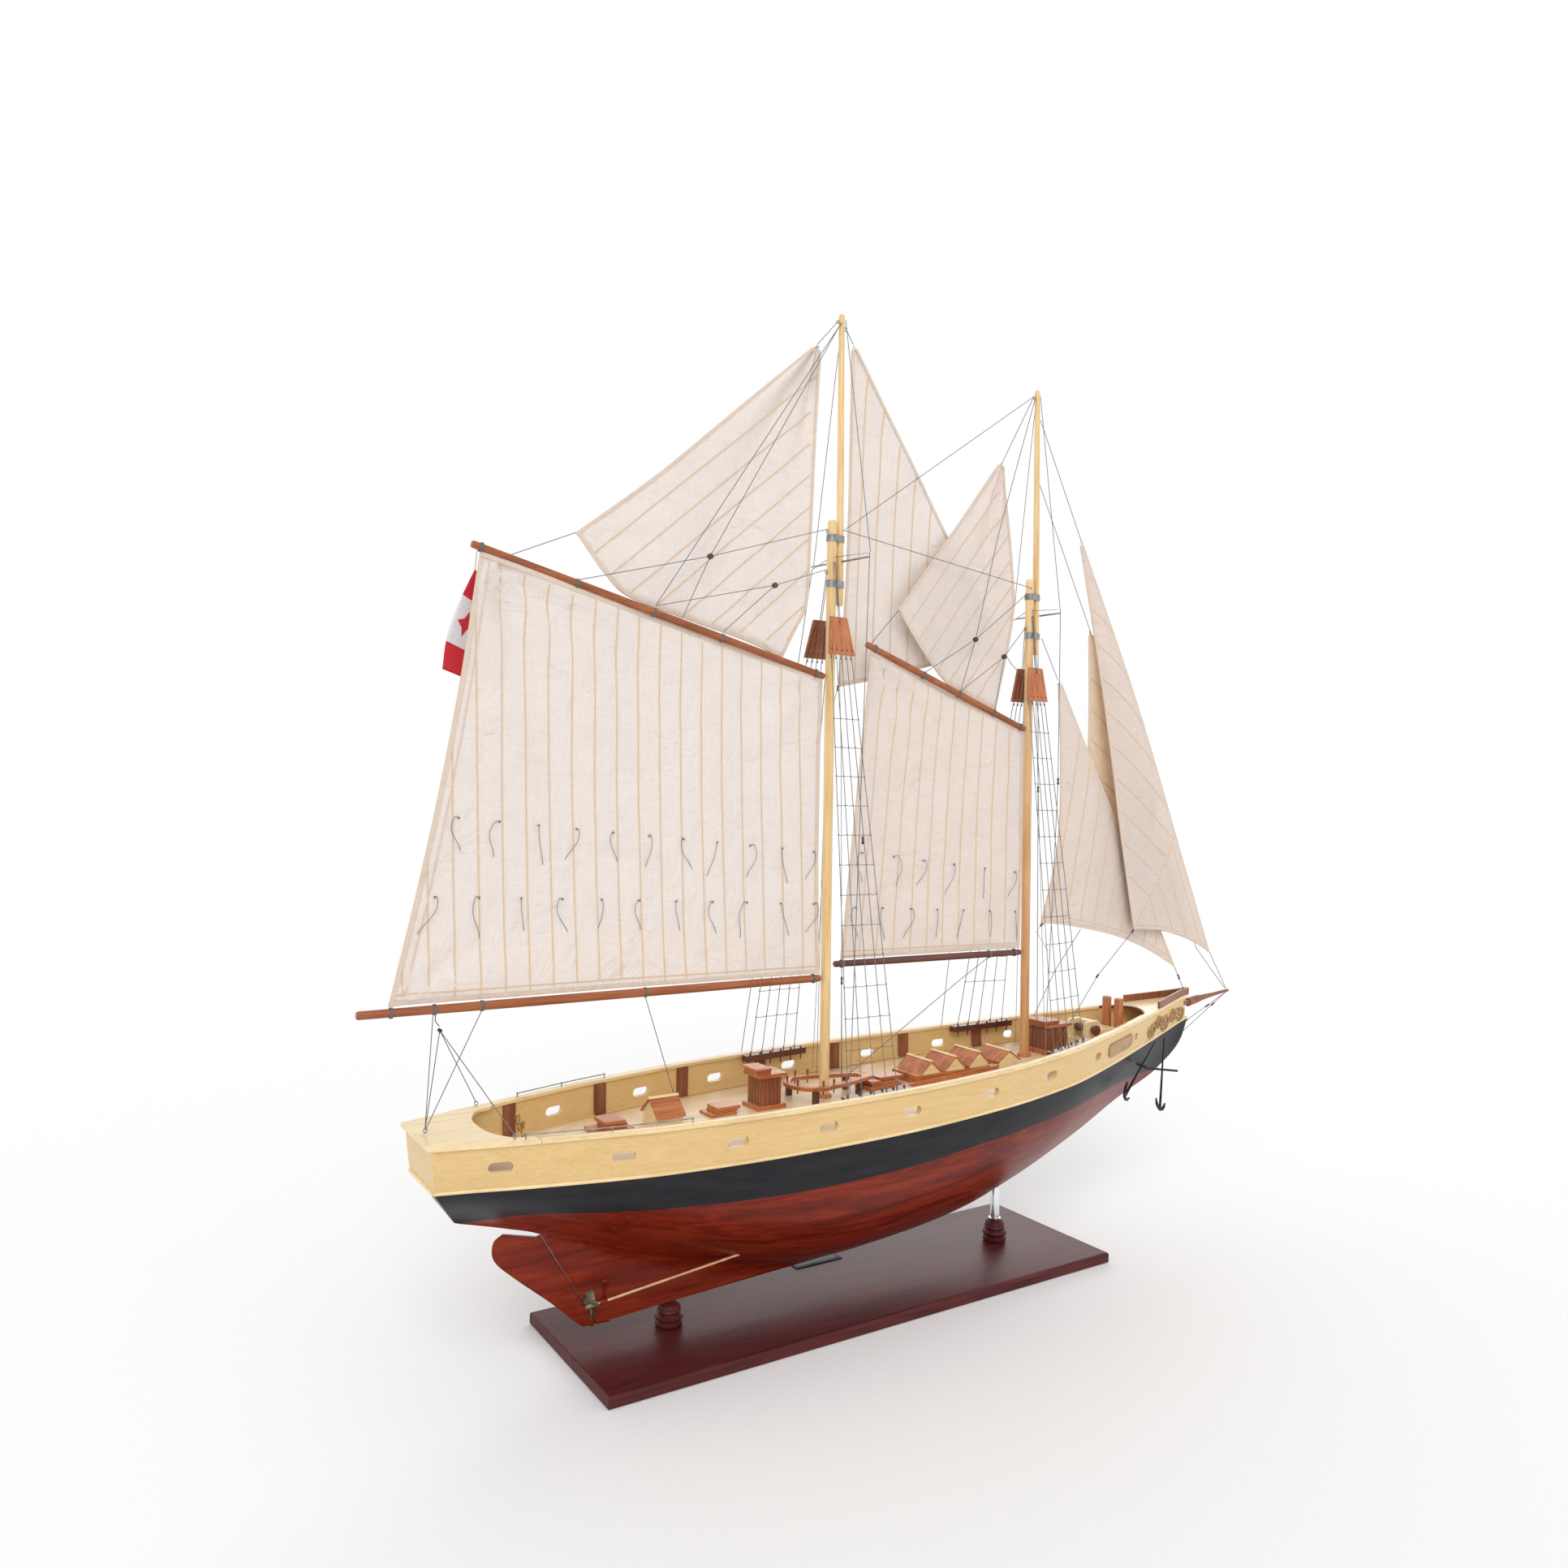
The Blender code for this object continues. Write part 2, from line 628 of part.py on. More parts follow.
def pinrail(name, side, ends, finish):
    """Make a belaying rail along the inside of the cap rail."""
    stations = [lerp(ends[0], ends[1], k / 4) for k in range(5)]
    rings = plank_rings(stations, lambda x: side * (half_breadth(x) - RAIL_WIDTH - 8.4),
                        lambda x: side * (half_breadth(x) - RAIL_WIDTH - 1.0),
                        lambda x: rail_z(x) - 3.4, lambda x: rail_z(x) + 2.2)
    return loft(name, rings, finish)


def mast_hatch(finish):
    made = block("mast_hatch", (20, 56), (-11, 12), 5.5, finish)
    return fuse(made, block("mast_hatch_lid", (34, 61), (-6, 7), 8.5, finish, 5))


def skylight_bank(finish):
    """Make the long hatch coaming with three pitched skylights across it."""
    aft, fore = 66, 162
    top_aft, top_fore = on_deck(aft) + 7, on_deck(fore) + 7
    outline = [(aft, on_deck(aft)), (114, on_deck(114) + 0.2), (fore, on_deck(fore)), (fore, top_fore)]
    for x in (142, 113, 84):
        base = lerp(top_aft, top_fore, (x - aft) / (fore - aft))
        outline += [(x + 12, base), (x + 13.4, base + 2.5), (x, base + 14.5), (x - 13.4, base + 2.5),
                    (x - 12, base)]
    outline += [(aft, top_aft)]
    made = prism_y("skylight_bank", outline, -17, 17, finish)
    for name, y0, y1 in (("coaming_starboard", -22, -16), ("coaming_port", 16, 22)):
        low, high = on_deck(aft), on_deck(fore)
        strip = [(aft, low + 0.3), (fore, high + 0.3), (fore, high + 4), (aft, low + 4)]
        fuse(made, prism_y(name, strip, y0, y1, finish))
    return made


def skylight_fore(finish):
    low, high = on_deck(168), on_deck(194)
    eaves = high + 3.5
    outline = [(168, low), (194, high), (194, eaves), (196.5, eaves + 0.5), (181, eaves + 9),
               (165.5, eaves + 0.5), (168, eaves)]
    return prism_y("skylight_fore", outline, -16, 16, finish)


def fore_cabin(finish):
    made = block("fore_cabin", (235, 262), 13, 27, finish)
    foot = block("fore_cabin_foot", (229, 267), 15, 4, finish)
    head = block("fore_cabin_head", (231, 268), 15.5, 29.5, finish, 26.5)
    lid = block("fore_cabin_lid", (229, 252), 13, 33, finish, 29)
    return fuse(made, foot, head, lid)


BARREL_X, BARREL_RISE, BARREL_RADIUS = 298, 13.0, 3.4


def windlass_bed(finish):
    """Make the windlass's bed and cheeks, with the two bitts that rise forward of it."""
    made = block("windlass_bed", (286, 312), 14, 4, finish)
    for name, y0, y1 in (("cheek_starboard", -13, -9), ("cheek_port", 9, 13)):
        fuse(made, block(name, (288, 309), (y0, y1), 21, finish, 2.5))
    fuse(made, block("windlass_step", (311, 352), 12, 9, finish))
    for name, y in (("bitt_port", 7.5), ("bitt_starboard", -7.5)):
        fuse(made, rod(name, [(342, y, 200), (342, y, 229)], [4.6, 4.6], 14, finish))
    z = on_deck(BARREL_X) + BARREL_RISE
    hole = rod("barrel_hole", [(BARREL_X, -20, z), (BARREL_X, 20, z)], [BARREL_RADIUS + GAP] * 2, 16,
               finish)
    return combine(made, hole, 'DIFFERENCE')


def windlass_drum(finish):
    x, z = BARREL_X, on_deck(BARREL_X) + BARREL_RISE
    profile = ((-19, 5.4), (-16, 5.4), (-15.5, BARREL_RADIUS), (15.5, BARREL_RADIUS), (16, 5.4), (19, 5.4))
    rings = []
    for y, radius in profile:
        turn = [2 * math.pi * i / 16 for i in range(16)]
        rings.append([(x + radius * math.cos(a), y, z + radius * math.sin(a)) for a in turn])
    made = soften(loft("windlass_drum", rings, finish))
    set_origin(made, (x, 0, z))
    return made


WHEEL_CENTRE = (-295.5, 0.0, 186.0)


def steering_wheel(finish):
    x, y, z = WHEEL_CENTRE
    rim = []
    for i in range(16):
        a = 2 * math.pi * i / 16
        rim.append([(x - 0.7, y + 5.0 * math.cos(a), z + 5.0 * math.sin(a)),
                    (x + 0.7, y + 5.0 * math.cos(a), z + 5.0 * math.sin(a)),
                    (x + 0.7, y + 4.0 * math.cos(a), z + 4.0 * math.sin(a)),
                    (x - 0.7, y + 4.0 * math.cos(a), z + 4.0 * math.sin(a))])
    points = [p for ring in rim for p in ring]
    faces = []
    for i in range(16):
        j = (i + 1) % 16
        for k in range(4):
            m = (k + 1) % 4
            faces.append((4 * i + k, 4 * j + k, 4 * j + m, 4 * i + m))
    made = add_mesh("steering_wheel", points, faces, finish)
    star = []
    for number in range(6):
        a = math.radians(60 * number + 12)
        for reach, turn in ((1.5, -0.5), (6.8, -0.07), (6.8, 0.07), (1.5, 0.5)):
            star.append((y + reach * math.cos(a + turn), z + reach * math.sin(a + turn)))
    fuse(made, prism_x("wheel_spokes", star, x - 0.45, x + 0.45, finish),
         rod("wheel_axle", [(x - 1.2, y, z), (x + 4.0, y, z)], [0.8, 0.8], 8, finish))
    set_origin(made, WHEEL_CENTRE)
    return made


def binnacle(finish):
    """Make the stand that carries the steering wheel's axle."""
    x, y, z = WHEEL_CENTRE
    foot = on_deck(x + 5, 3)
    made = box("binnacle", (x + 1.6, -2.2, foot), (x + 5.4, 2.2, z + 2.2), finish)
    return combine(made, rod("axle_hole", [(x, y, z), (x + 7, y, z)], [1.1, 1.1], 8, finish),
                   'DIFFERENCE')


def anchor(name, top, lean, stock_way, half_stock, finish):
    """Make an anchor that hangs from the point `top`: shank, stock, arms and thread."""
    top = Vector(top)
    down = Vector((lean[0], lean[1], -1)).normalized()
    stock_way = Vector(stock_way)
    stock_way = (stock_way - down * stock_way.dot(down)).normalized()
    arms_way = down.cross(stock_way).normalized()
    ring = top + down * 28
    crown = ring + down * 46
    made = rod(name, [top, ring, crown], [0.6, 1.0, 1.5], 6, finish)
    stock = ring + down * 5
    fuse(made, rod(f"{name}_stock", [stock - stock_way * half_stock, stock + stock_way * half_stock], [1.2, 1.2], 6,
                   finish))
    sweep = []
    for k in range(7):
        a = math.radians(-66 + 22 * k)
        sweep.append(crown + arms_way * 15 * math.sin(a) - down * (15 - 15 * math.cos(a)) * 1.0)
    fuse(made, rod(f"{name}_arms", sweep, [0.8, 1.6, 1.6, 1.6, 1.6, 1.6, 0.8], 6, finish))
    set_origin(made, top)
    return made


# ---- masts and spars ----

def at(ends, z):
    """Return the x of a raked mast at height z."""
    (x0, z0), (x1, z1), _ = ends
    return lerp(x0, x1, (z - z0) / (z1 - z0))


def lower_mast(name, ends, top_ends, band_levels, finish):
    """Make a lower mast with the two iron bands that hold its topmast."""
    (x0, z0), (x1, z1), thick = ends
    made = rod(name, [(x0, 0, z0), (x1, 0, z1)], [thick / 2, thick / 2], 14, finish)
    for number, z in enumerate(band_levels):
        x_low, x_top = at(ends, z), at(top_ends, z)
        radius, top_radius = thick / 2 + 0.9, top_ends[2] / 2 + 1.4
        turn = [math.radians(a) for a in range(90, 271, 30)]
        outline = [(x_low + radius * math.cos(a), radius * math.sin(a)) for a in turn]
        turn = [math.radians(a) for a in range(-90, 91, 30)]
        outline += [(x_top + top_radius * math.cos(a), top_radius * math.sin(a)) for a in turn]
        levels = (z - BAND_HEIGHT / 2, z + BAND_HEIGHT / 2)
        band = loft(f"{name}_band_{number}", [[(x, y, level) for x, y in outline] for level in levels],
                    finish)
        fuse(made, band)
    low, high = band_levels[0] - 12, band_levels[1] + 12
    hole = rod(f"{name}_heel_hole", [(at(top_ends, low), 0, low), (at(top_ends, high), 0, high)],
               [top_ends[2] / 2 + GAP, top_ends[2] / 2 + GAP], 14, finish)
    return combine(made, hole, 'DIFFERENCE')


def topmast(name, ends, finish):
    (x0, z0), (x1, z1), thick = ends
    return rod(name, [(x0, 0, z0), (x1, 0, z1)], [thick / 2, thick / 2 - 0.6], 14, finish)


def spar(name, ends, pivot, finish):
    """Make a gaff or boom, thickest in the middle."""
    (x0, z0), (x1, z1), thick = ends
    points = [(lerp(x0, x1, s), 0, lerp(z0, z1, s)) for s in (0, 0.3, 0.7, 1)]
    made = rod(name, points, [thick * k for k in (0.44, 0.5, 0.5, 0.46)], 12, finish)
    set_origin(made, pivot)
    return made


# ---- sails ----

def make_sails(cloth):
    """Make the gaff sails, topsails and headsails, the headsails joined to their stays."""
    sails = {}
    aft = edge_through([(-391, 0, 278), (-364, 0, 440), (-335, 0, 600.0)], 8)
    fore = edge_through([(-33, 0, 278), (-33.5, 0, 405), (-33.5, 0, 529.6)], 8)
    sails["mainsail"] = sheet("mainsail", aft, fore, 8, 8, cloth)
    aft = edge_through([(-7, 0, 288.8), (4, 0, 425), (19, 0, 559.2)], 7)
    fore = edge_through([(205.5, 0, 287.2), (204.5, 0, 390), (203.5, 0, 496.8)], 7)
    sails["foresail"] = sheet("foresail", aft, fore, 7, 6, cloth)
    aft = [(-213, 5, 580), (-236, 5, 601), (-259, 5, 626), (-190, 4, 684), (-118, 3, 751), (-46, 1, 818)]
    fore = [(-76, 5, 547), (-62, 5, 573), (-47, 4, 598), (-45, 3, 670), (-44, 2, 745), (-42, 1, 820)]
    sails["main_topsail"] = sheet("main_topsail", aft, fore, 6, 3, cloth)
    aft = [(120, 4.3, 536), (86, 4.3, 568), (53, 4.3, 601), (92, 4, 651), (133, 3, 703), (171, 1, 755)]
    fore = [(171, 4.3, 518), (183, 4.3, 568), (196, 4, 618), (190, 3, 664), (182, 2, 711), (175, 1, 757)]
    sails["fore_topsail"] = sheet("fore_topsail", aft, fore, 6, 1, cloth)
    return sails


def headsail(name, head, clew, tack, stay, leech, belly, cloth):
    """Make a three-cornered sail on its stay; the leech bows by the given amount."""
    rows = 8
    head, clew, tack = Vector(head), Vector(clew), Vector(tack)
    aft, fore = [], []
    for k in range(rows):
        s = 0.02 + 0.98 * (1 - k / (rows - 1))
        bow = leech * 4 * s * (1 - s)
        aft.append(head.lerp(clew, s) + Vector((bow, 0, 0)))
        fore.append(head.lerp(tack, s))
    made = sheet(name, aft, fore, 6, belly, cloth)
    upper, lower = Vector(stay[0]), Vector(stay[1])
    rope = rod(f"{name}_stay", [upper, head, tack, lower], [ROPE] * 4, 6, cloth)
    return fuse(made, rope)


def make_flag(finish):
    aft = edge_through([(-357, 9, 517), (-352, 10, 540), (-336, 8, 589)], 5)
    fore = edge_through([(-330, 12, 505), (-320, 12, 530), (-318, 9, 575)], 5)
    return sheet("flag", aft, fore, 4, 1.5, finish, 0.8)


# ---- shrouds ----

def shroud_gang(name, side, mast_x, hounds_z, hounds_y, feet_x, levels, finish):
    """Make the hounds board with its shrouds and ratlines, as one flat lattice.

    The lattice lies in the plane from the board down to the pinrail, and u, v measure it there.
    """
    top_y, bottom_y = hounds_y
    z_top, z_bottom = hounds_z

    def place(i, u, drop, out):
        z = lerp(z_bottom, rail_z(feet_x[i]) + 2.2 + 3 * GAP, drop)
        y = lerp(bottom_y, half_breadth(feet_x[i]) - RAIL_WIDTH - 4.7, drop)
        return Vector((u, side * (y + out), z))

    def u_of(i, drop):
        above = mast_x + (i - (SHROUDS - 1) / 2) * 5.6
        return lerp(above, feet_x[i], drop)

    half = ROPE / 2
    count = len(levels) + 2
    drops = [0.0] + levels + [1.0]
    points, faces = [], []
    index = {}
    for k in range(count):
        for i in range(SHROUDS):
            for a, du in enumerate((-half, half)):
                for b, dv in enumerate((-half, half)):
                    run = drops[k] + (dv / 360 if 0 < k < count - 1 else (0.002 if k == 0 and b else 0))
                    if k == count - 1 and not b:
                        run = 1.0 - 0.003
                    for c, out in enumerate((-half, half)):
                        index[k, i, a, b, c] = len(points)
                        points.append(place(i, u_of(i, run) + du, run, out))

    def block(corners, open_sides):
        """Add the faces of a bar between two ends; open_sides are the faces left out."""
        for label, quad in corners.items():
            if label not in open_sides:
                faces.append(quad)

    for k in range(count):
        for i in range(SHROUDS):
            v = {(a, b, c): index[k, i, a, b, c] for a in (0, 1) for b in (0, 1) for c in (0, 1)}
            crossing = 0 < k < count - 1
            open_sides = set()
            if k > 0:
                open_sides.add("up")
            if k < count - 1:
                open_sides.add("down")
            if crossing and i > 0:
                open_sides.add("left")
            if crossing and i < SHROUDS - 1:
                open_sides.add("right")
            block({"left": (v[0, 0, 0], v[0, 1, 0], v[0, 1, 1], v[0, 0, 1]),
                   "right": (v[1, 0, 0], v[1, 1, 0], v[1, 1, 1], v[1, 0, 1]),
                   "up": (v[0, 0, 0], v[1, 0, 0], v[1, 0, 1], v[0, 0, 1]),
                   "down": (v[0, 1, 0], v[1, 1, 0], v[1, 1, 1], v[0, 1, 1]),
                   "in": (v[0, 0, 0], v[1, 0, 0], v[1, 1, 0], v[0, 1, 0]),
                   "out": (v[0, 0, 1], v[1, 0, 1], v[1, 1, 1], v[0, 1, 1])}, open_sides)
            if k < count - 1:
                w = {(a, c): index[k + 1, i, a, 0, c] for a in (0, 1) for c in (0, 1)}
                faces.append((v[0, 1, 0], v[0, 1, 1], w[0, 1], w[0, 0]))
                faces.append((v[1, 1, 0], v[1, 1, 1], w[1, 1], w[1, 0]))
                faces.append((v[0, 1, 0], v[1, 1, 0], w[1, 0], w[0, 0]))
                faces.append((v[0, 1, 1], v[1, 1, 1], w[1, 1], w[0, 1]))
            if crossing and i < SHROUDS - 1:
                w = {(b, c): index[k, i + 1, 0, b, c] for b in (0, 1) for c in (0, 1)}
                faces.append((v[1, 0, 0], v[1, 0, 1], w[0, 1], w[0, 0]))
                faces.append((v[1, 1, 0], v[1, 1, 1], w[1, 1], w[1, 0]))
                faces.append((v[1, 0, 0], v[1, 1, 0], w[1, 0], w[0, 0]))
                faces.append((v[1, 0, 1], v[1, 1, 1], w[1, 1], w[0, 1]))
    made = add_mesh(name, points, faces, finish)
    rings = []
    for z, y, width in ((z_top, top_y, HOUNDS_TOP), (z_bottom - 1, bottom_y + 0.2, HOUNDS_BOTTOM)):
        rings.append([(mast_x - width / 2, side * (y - 1.3), z), (mast_x + width / 2, side * (y - 1.3), z),
                      (mast_x + width / 2, side * (y + 1.3), z), (mast_x - width / 2, side * (y + 1.3), z)])
    board = loft(f"{name}_board", rings, finish)
    return fuse(made, board)


def build():
    for thing in list(bpy.data.objects):
        bpy.data.objects.remove(thing, do_unlink=True)

    cherry = material("cherry_gloss", (0.09, 0.018, 0.016), 0.15)
    silver = material("polished_rod", (0.8, 0.8, 0.82), 0.2, 1.0)
    hull_red = material("hull_mahogany", (0.32, 0.045, 0.018), 0.2)
    honey = material("honey_wood", (0.78, 0.52, 0.25), 0.4)
    pale = material("pale_wood", (0.83, 0.62, 0.35), 0.4)
    mahogany = material("mahogany", (0.28, 0.075, 0.035), 0.35)
    dark_mahogany = material("dark_mahogany", (0.12, 0.03, 0.02), 0.35)
    pine = material("pine_spar", (0.85, 0.6, 0.28), 0.4)
    bronze = material("antique_bronze", (0.22, 0.18, 0.12), 0.5, 1.0)
    copper = material("copper_tube", (0.8, 0.45, 0.28), 0.35, 1.0)
    brass = material("brass", (0.6, 0.4, 0.16), 0.3, 1.0)
    gunmetal = material("gunmetal", (0.04, 0.045, 0.045), 0.45, 1.0)
    cloth = material("sailcloth", (0.83, 0.74, 0.64), 0.9)
    thread = material("grey_thread", (0.16, 0.16, 0.16), 0.8)
    flag_red = material("flag_cloth", (0.7, 0.03, 0.04), 0.8)

    make_base(cherry)
    make_post("aft_post", AFT_POST_X, keel_z(AFT_POST_X - 4.4) - BASE_THICKNESS - 3 * GAP, 20, cherry)
    make_post("fore_post", FORE_POST_X, 20.0, 20, cherry)
    rod_top = keel_z(FORE_POST_X - ROD_RADIUS) - GAP - 0.2
    rod("fore_post_rod", [(FORE_POST_X, 0, 29.4 + 2 * GAP), (FORE_POST_X, 0, rod_top)],
        [ROD_RADIUS * 0.8] * 2, 16, silver)

    make_hull(hull_red)
    make_deck(pale)
    for side in (1, -1):
        bulwark(side, honey)
        cap_rail(side, pale)
        shaft(side, copper)
        propeller(side, bronze)
    make_transom(honey)
    stern_platform(pale)
    foredeck_platform(pale)
    make_rudder(hull_red)
    make_bow_rail(mahogany)
    make_bowsprit(mahogany)

    stern_hatch(mahogany)
    aft_house(mahogany)
    hatch_box(mahogany)
    companionway(mahogany)
    fife_rail(mahogany)
    pinrail("pinrail_main_port", 1, (-54, 12), dark_mahogany)
    pinrail("pinrail_main_starboard", -1, (-60, 6), dark_mahogany)
    pinrail("pinrail_fore_port", 1, (182, 247), dark_mahogany)
    pinrail("pinrail_fore_starboard", -1, (182, 247), dark_mahogany)
    mast_hatch(mahogany)
    skylight_bank(mahogany)
    skylight_fore(mahogany)
    fore_cabin(dark_mahogany)
    windlass_bed(pale)
    windlass_drum(dark_mahogany)
    steering_wheel(brass)
    binnacle(mahogany)
    anchor("anchor_fore", (397, -21.5, 186), (-0.09, -0.02), (0.84, -0.54, 0), 16, gunmetal)
    anchor("anchor_aft", (371, -31, 186), (-1.19, -0.2), (0.25, -0.95, -0.3), 6, gunmetal)

    lower_mast("main_mast", MAIN_MAST, MAIN_TOPMAST, (614.5, 654), pine)
    topmast("main_topmast", MAIN_TOPMAST, pine)
    lower_mast("fore_mast", FORE_MAST, FORE_TOPMAST, (592, 630), pine)
    topmast("fore_topmast", FORE_TOPMAST, pine)
    spar("main_gaff", MAIN_GAFF, (at(MAIN_MAST, 534), 0, 534), mahogany)
    spar("main_boom", MAIN_BOOM, (at(MAIN_MAST, 274), 0, 274), mahogany)
    spar("fore_gaff", FORE_GAFF, (at(FORE_MAST, 500), 0, 500), mahogany)
    spar("fore_boom", FORE_BOOM, (at(FORE_MAST, 283), 0, 283), mahogany)

    make_sails(cloth)
    headsail("main_staysail", (-6, 2.5, 830), (-2, 20, 528), (188, 13, 580),
             ((-15.5, 1.6, 842), (201, 13.4, 563.5)), 4, 3, cloth)
    headsail("fore_staysail", (253, -1, 551.5), (230, -6, 311), (437, -1, 256),
             ((228.6, 0, 591), (452, -1, 231.5)), 22, -2, cloth)
    headsail("middle_jib", (298, 0.5, 606), (302, 9, 300), (476, 0.5, 272),
             ((223.5, 0, 740), (502, 0.5, 224.5)), 4, 3, cloth)
    headsail("flying_jib", (280, 0, 697), (364, -14, 295), (497, 0, 268),
             ((223, 0, 806), (523, 0, 224.5)), 8, -6, cloth)
    make_flag(flag_red)

    main_feet = {1: [-47, -35, -23, -11, 1], -1: [-56, -43, -31, -18.5, -8]}
    fore_feet = {1: [188, 200, 212, 225, 238], -1: [188, 200, 212, 225, 238]}
    levels = [0.16, 0.30, 0.44, 0.58, 0.72, 0.86]
    for side, name in ((1, "port"), (-1, "starboard")):
        shroud_gang(f"main_shrouds_{name}", side, -26.3, (584, 552), (12.7, 18.2), main_feet[side], levels, thread)
        shroud_gang(f"fore_shrouds_{name}", side, 214, (560, 528.5), (7.6, 10.3), fore_feet[side], levels, thread)


build()
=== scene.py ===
"""Looks of the model schooner: varnished hull, planked deck, cotton sails and thread rigging.

Lengths are in millimetres and become metres when a piece is made.
"""
import math
import random

import bmesh
import bpy
from mathutils import Matrix, Vector, noise


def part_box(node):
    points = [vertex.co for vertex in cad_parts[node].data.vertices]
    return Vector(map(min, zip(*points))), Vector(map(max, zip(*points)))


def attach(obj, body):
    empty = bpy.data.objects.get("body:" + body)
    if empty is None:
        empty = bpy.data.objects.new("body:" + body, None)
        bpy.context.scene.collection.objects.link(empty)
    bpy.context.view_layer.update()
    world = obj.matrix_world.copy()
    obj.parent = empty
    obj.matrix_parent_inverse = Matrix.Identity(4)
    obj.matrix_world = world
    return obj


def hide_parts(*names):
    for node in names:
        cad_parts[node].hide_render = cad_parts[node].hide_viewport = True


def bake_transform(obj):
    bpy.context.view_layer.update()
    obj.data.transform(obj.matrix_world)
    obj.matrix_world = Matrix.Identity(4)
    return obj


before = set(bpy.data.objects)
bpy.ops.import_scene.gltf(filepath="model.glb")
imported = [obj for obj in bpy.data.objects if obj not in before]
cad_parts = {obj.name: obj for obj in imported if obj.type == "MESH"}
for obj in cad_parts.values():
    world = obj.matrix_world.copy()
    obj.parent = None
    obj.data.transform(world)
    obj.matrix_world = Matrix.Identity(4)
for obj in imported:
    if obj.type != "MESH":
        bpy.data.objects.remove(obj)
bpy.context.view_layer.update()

MM = 0.001
SHIP, MAIN, FORE = "ship", "main_spars", "fore_spars"
chance = random.Random(7)

# hull lines: stations along X, with the half breadth and underside of the cap rail, and the paint lines
HALF_BREADTH = [(-371, 35), (-300, 56), (-200, 80), (-100, 92), (0, 95.5), (100, 91), (200, 76.5),
                (280, 56.5), (350, 36.5), (410, 17), (447, 5.6), (461, 2.4)]
RAIL_Z = [(-371, 184.7), (-300, 185.5), (-200, 187.6), (-100, 190), (0, 192.6), (100, 195.6),
          (200, 200), (280, 205.6), (350, 211.5), (410, 216.5), (461, 221)]
WALE_Z = [(-371, 154), (-300, 155), (-200, 156.8), (-100, 159.3), (0, 162), (100, 165.6),
          (200, 170), (280, 176), (350, 183), (410, 190.5), (461, 199)]
RED_Z = [(-371, 121), (-335, 122.5), (-310, 127), (-290, 128.5), (-222, 127.5), (-114, 127),
         (-45, 129), (26, 132.5), (80, 137), (209, 144), (288, 148), (340, 149), (402, 149.2),
         (461, 149.4)]
KEEL_Z = [(-342, 122), (-321, 116), (-304, 111), (-274, 100), (-262, 81), (-251, 64), (-240, 47),
          (-230, 26), (-184, 28), (-112, 31), (-8, 35.5), (60, 40), (120, 47.5), (181, 63), (235, 80),
          (285, 98), (350, 126), (396, 143), (418, 154), (442, 170), (457, 190), (461, 198)]
BODY_Z = [(-342, 122), (-321, 116), (-304, 111), (-274, 101), (-240, 88), (-200, 72), (-150, 55),
          (-100, 43), (-50, 36), (-8, 35.5), (60, 40)]
FULLNESS = [(-371, 3.6, 1.7), (-200, 3.2, 1.3), (0, 2.6, 0.85), (200, 2.3, 0.85), (330, 1.7, 0.9),
            (461, 1.3, 0.95)]
DECK_RISE = [(-371, 4.5), (-110, 5), (-43, 5), (100, 7), (243, 8), (461, 8)]
DECK_CAMBER = [(-371, 9), (-230, 8.5), (-110, 7), (-25, 5), (100, 3.5), (461, 2)]
STERN, RAKE_START, RAKE_RUN, TRANSOM_RAKE = -371, -274, 97.0, 29.0
FIN, BODY_END = 3.2, 60         # the fin's half breadth, and where BODY_Z meets the keel line
COUNTER_SHARE = 32.0 / 62.7     # the black counter's part of the stern's height
RAIL_WIDTH, RAIL_THICKNESS, RAIL_OVERHANG, WALL = 8.6, 3.0, 1.6, 5.0
CORNERS = ((-1, -1), (1, -1), (1, 1), (-1, 1))
SLOTS = [(-325, 17), (-243, 17), (-158, 17), (-81, 17), (0, 17), (90, 17), (172, 16), (252, 12),
         (333, 7)]
STANCHIONS = (-284, -199, -116, -33, 50, 130, 214)

THREAD, FINE = 0.34, 0.25       # radii of the rigging threads
TINT_HEIGHTS = 0.3, 0.62        # in metres, as a material sees them
CAMERA_PLACE, CAMERA_TURN = (-594.6, -808.8, 427.7), (32.97, 0.73, 1.22)


def smooth_curve(points):
    """Return the smooth function through the given (x, value) points."""
    xs = [p[0] for p in points]
    ys = [p[1] for p in points]
    slopes = [(ys[i + 1] - ys[i]) / (xs[i + 1] - xs[i]) for i in range(len(xs) - 1)]
    tangents = [slopes[0]]
    for before, after in zip(slopes, slopes[1:]):
        same_way = before * after > 0
        tangents.append(2 * before * after / (before + after) if same_way else 0.0)
    tangents.append(slopes[-1])

    def value(x):
        x = min(max(x, xs[0]), xs[-1])
        i = max(k for k in range(len(xs) - 1) if xs[k] <= x)
        h = xs[i + 1] - xs[i]
        t = (x - xs[i]) / h
        a = ys[i] * (1 + 2 * t) * (1 - t) ** 2 + tangents[i] * h * t * (1 - t) ** 2
        return a + ys[i + 1] * t * t * (3 - 2 * t) + tangents[i + 1] * h * t * t * (t - 1)

    return value


half_breadth = smooth_curve(HALF_BREADTH)
rail_z = smooth_curve(RAIL_Z)
wale_z = smooth_curve(WALE_Z)
red_z = smooth_curve(RED_Z)
keel_z = smooth_curve(KEEL_Z)
body_z = smooth_curve(BODY_Z)
deck_rise = smooth_curve(DECK_RISE)
deck_camber = smooth_curve(DECK_CAMBER)
fullness_a = smooth_curve([(f[0], f[1]) for f in FULLNESS])
fullness_b = smooth_curve([(f[0], f[2]) for f in FULLNESS])


def lerp(a, b, t):
    return a + (b - a) * t


def rake(x_top):
    return TRANSOM_RAKE * min(max((RAKE_START - x_top) / RAKE_RUN, 0.0), 1.0)


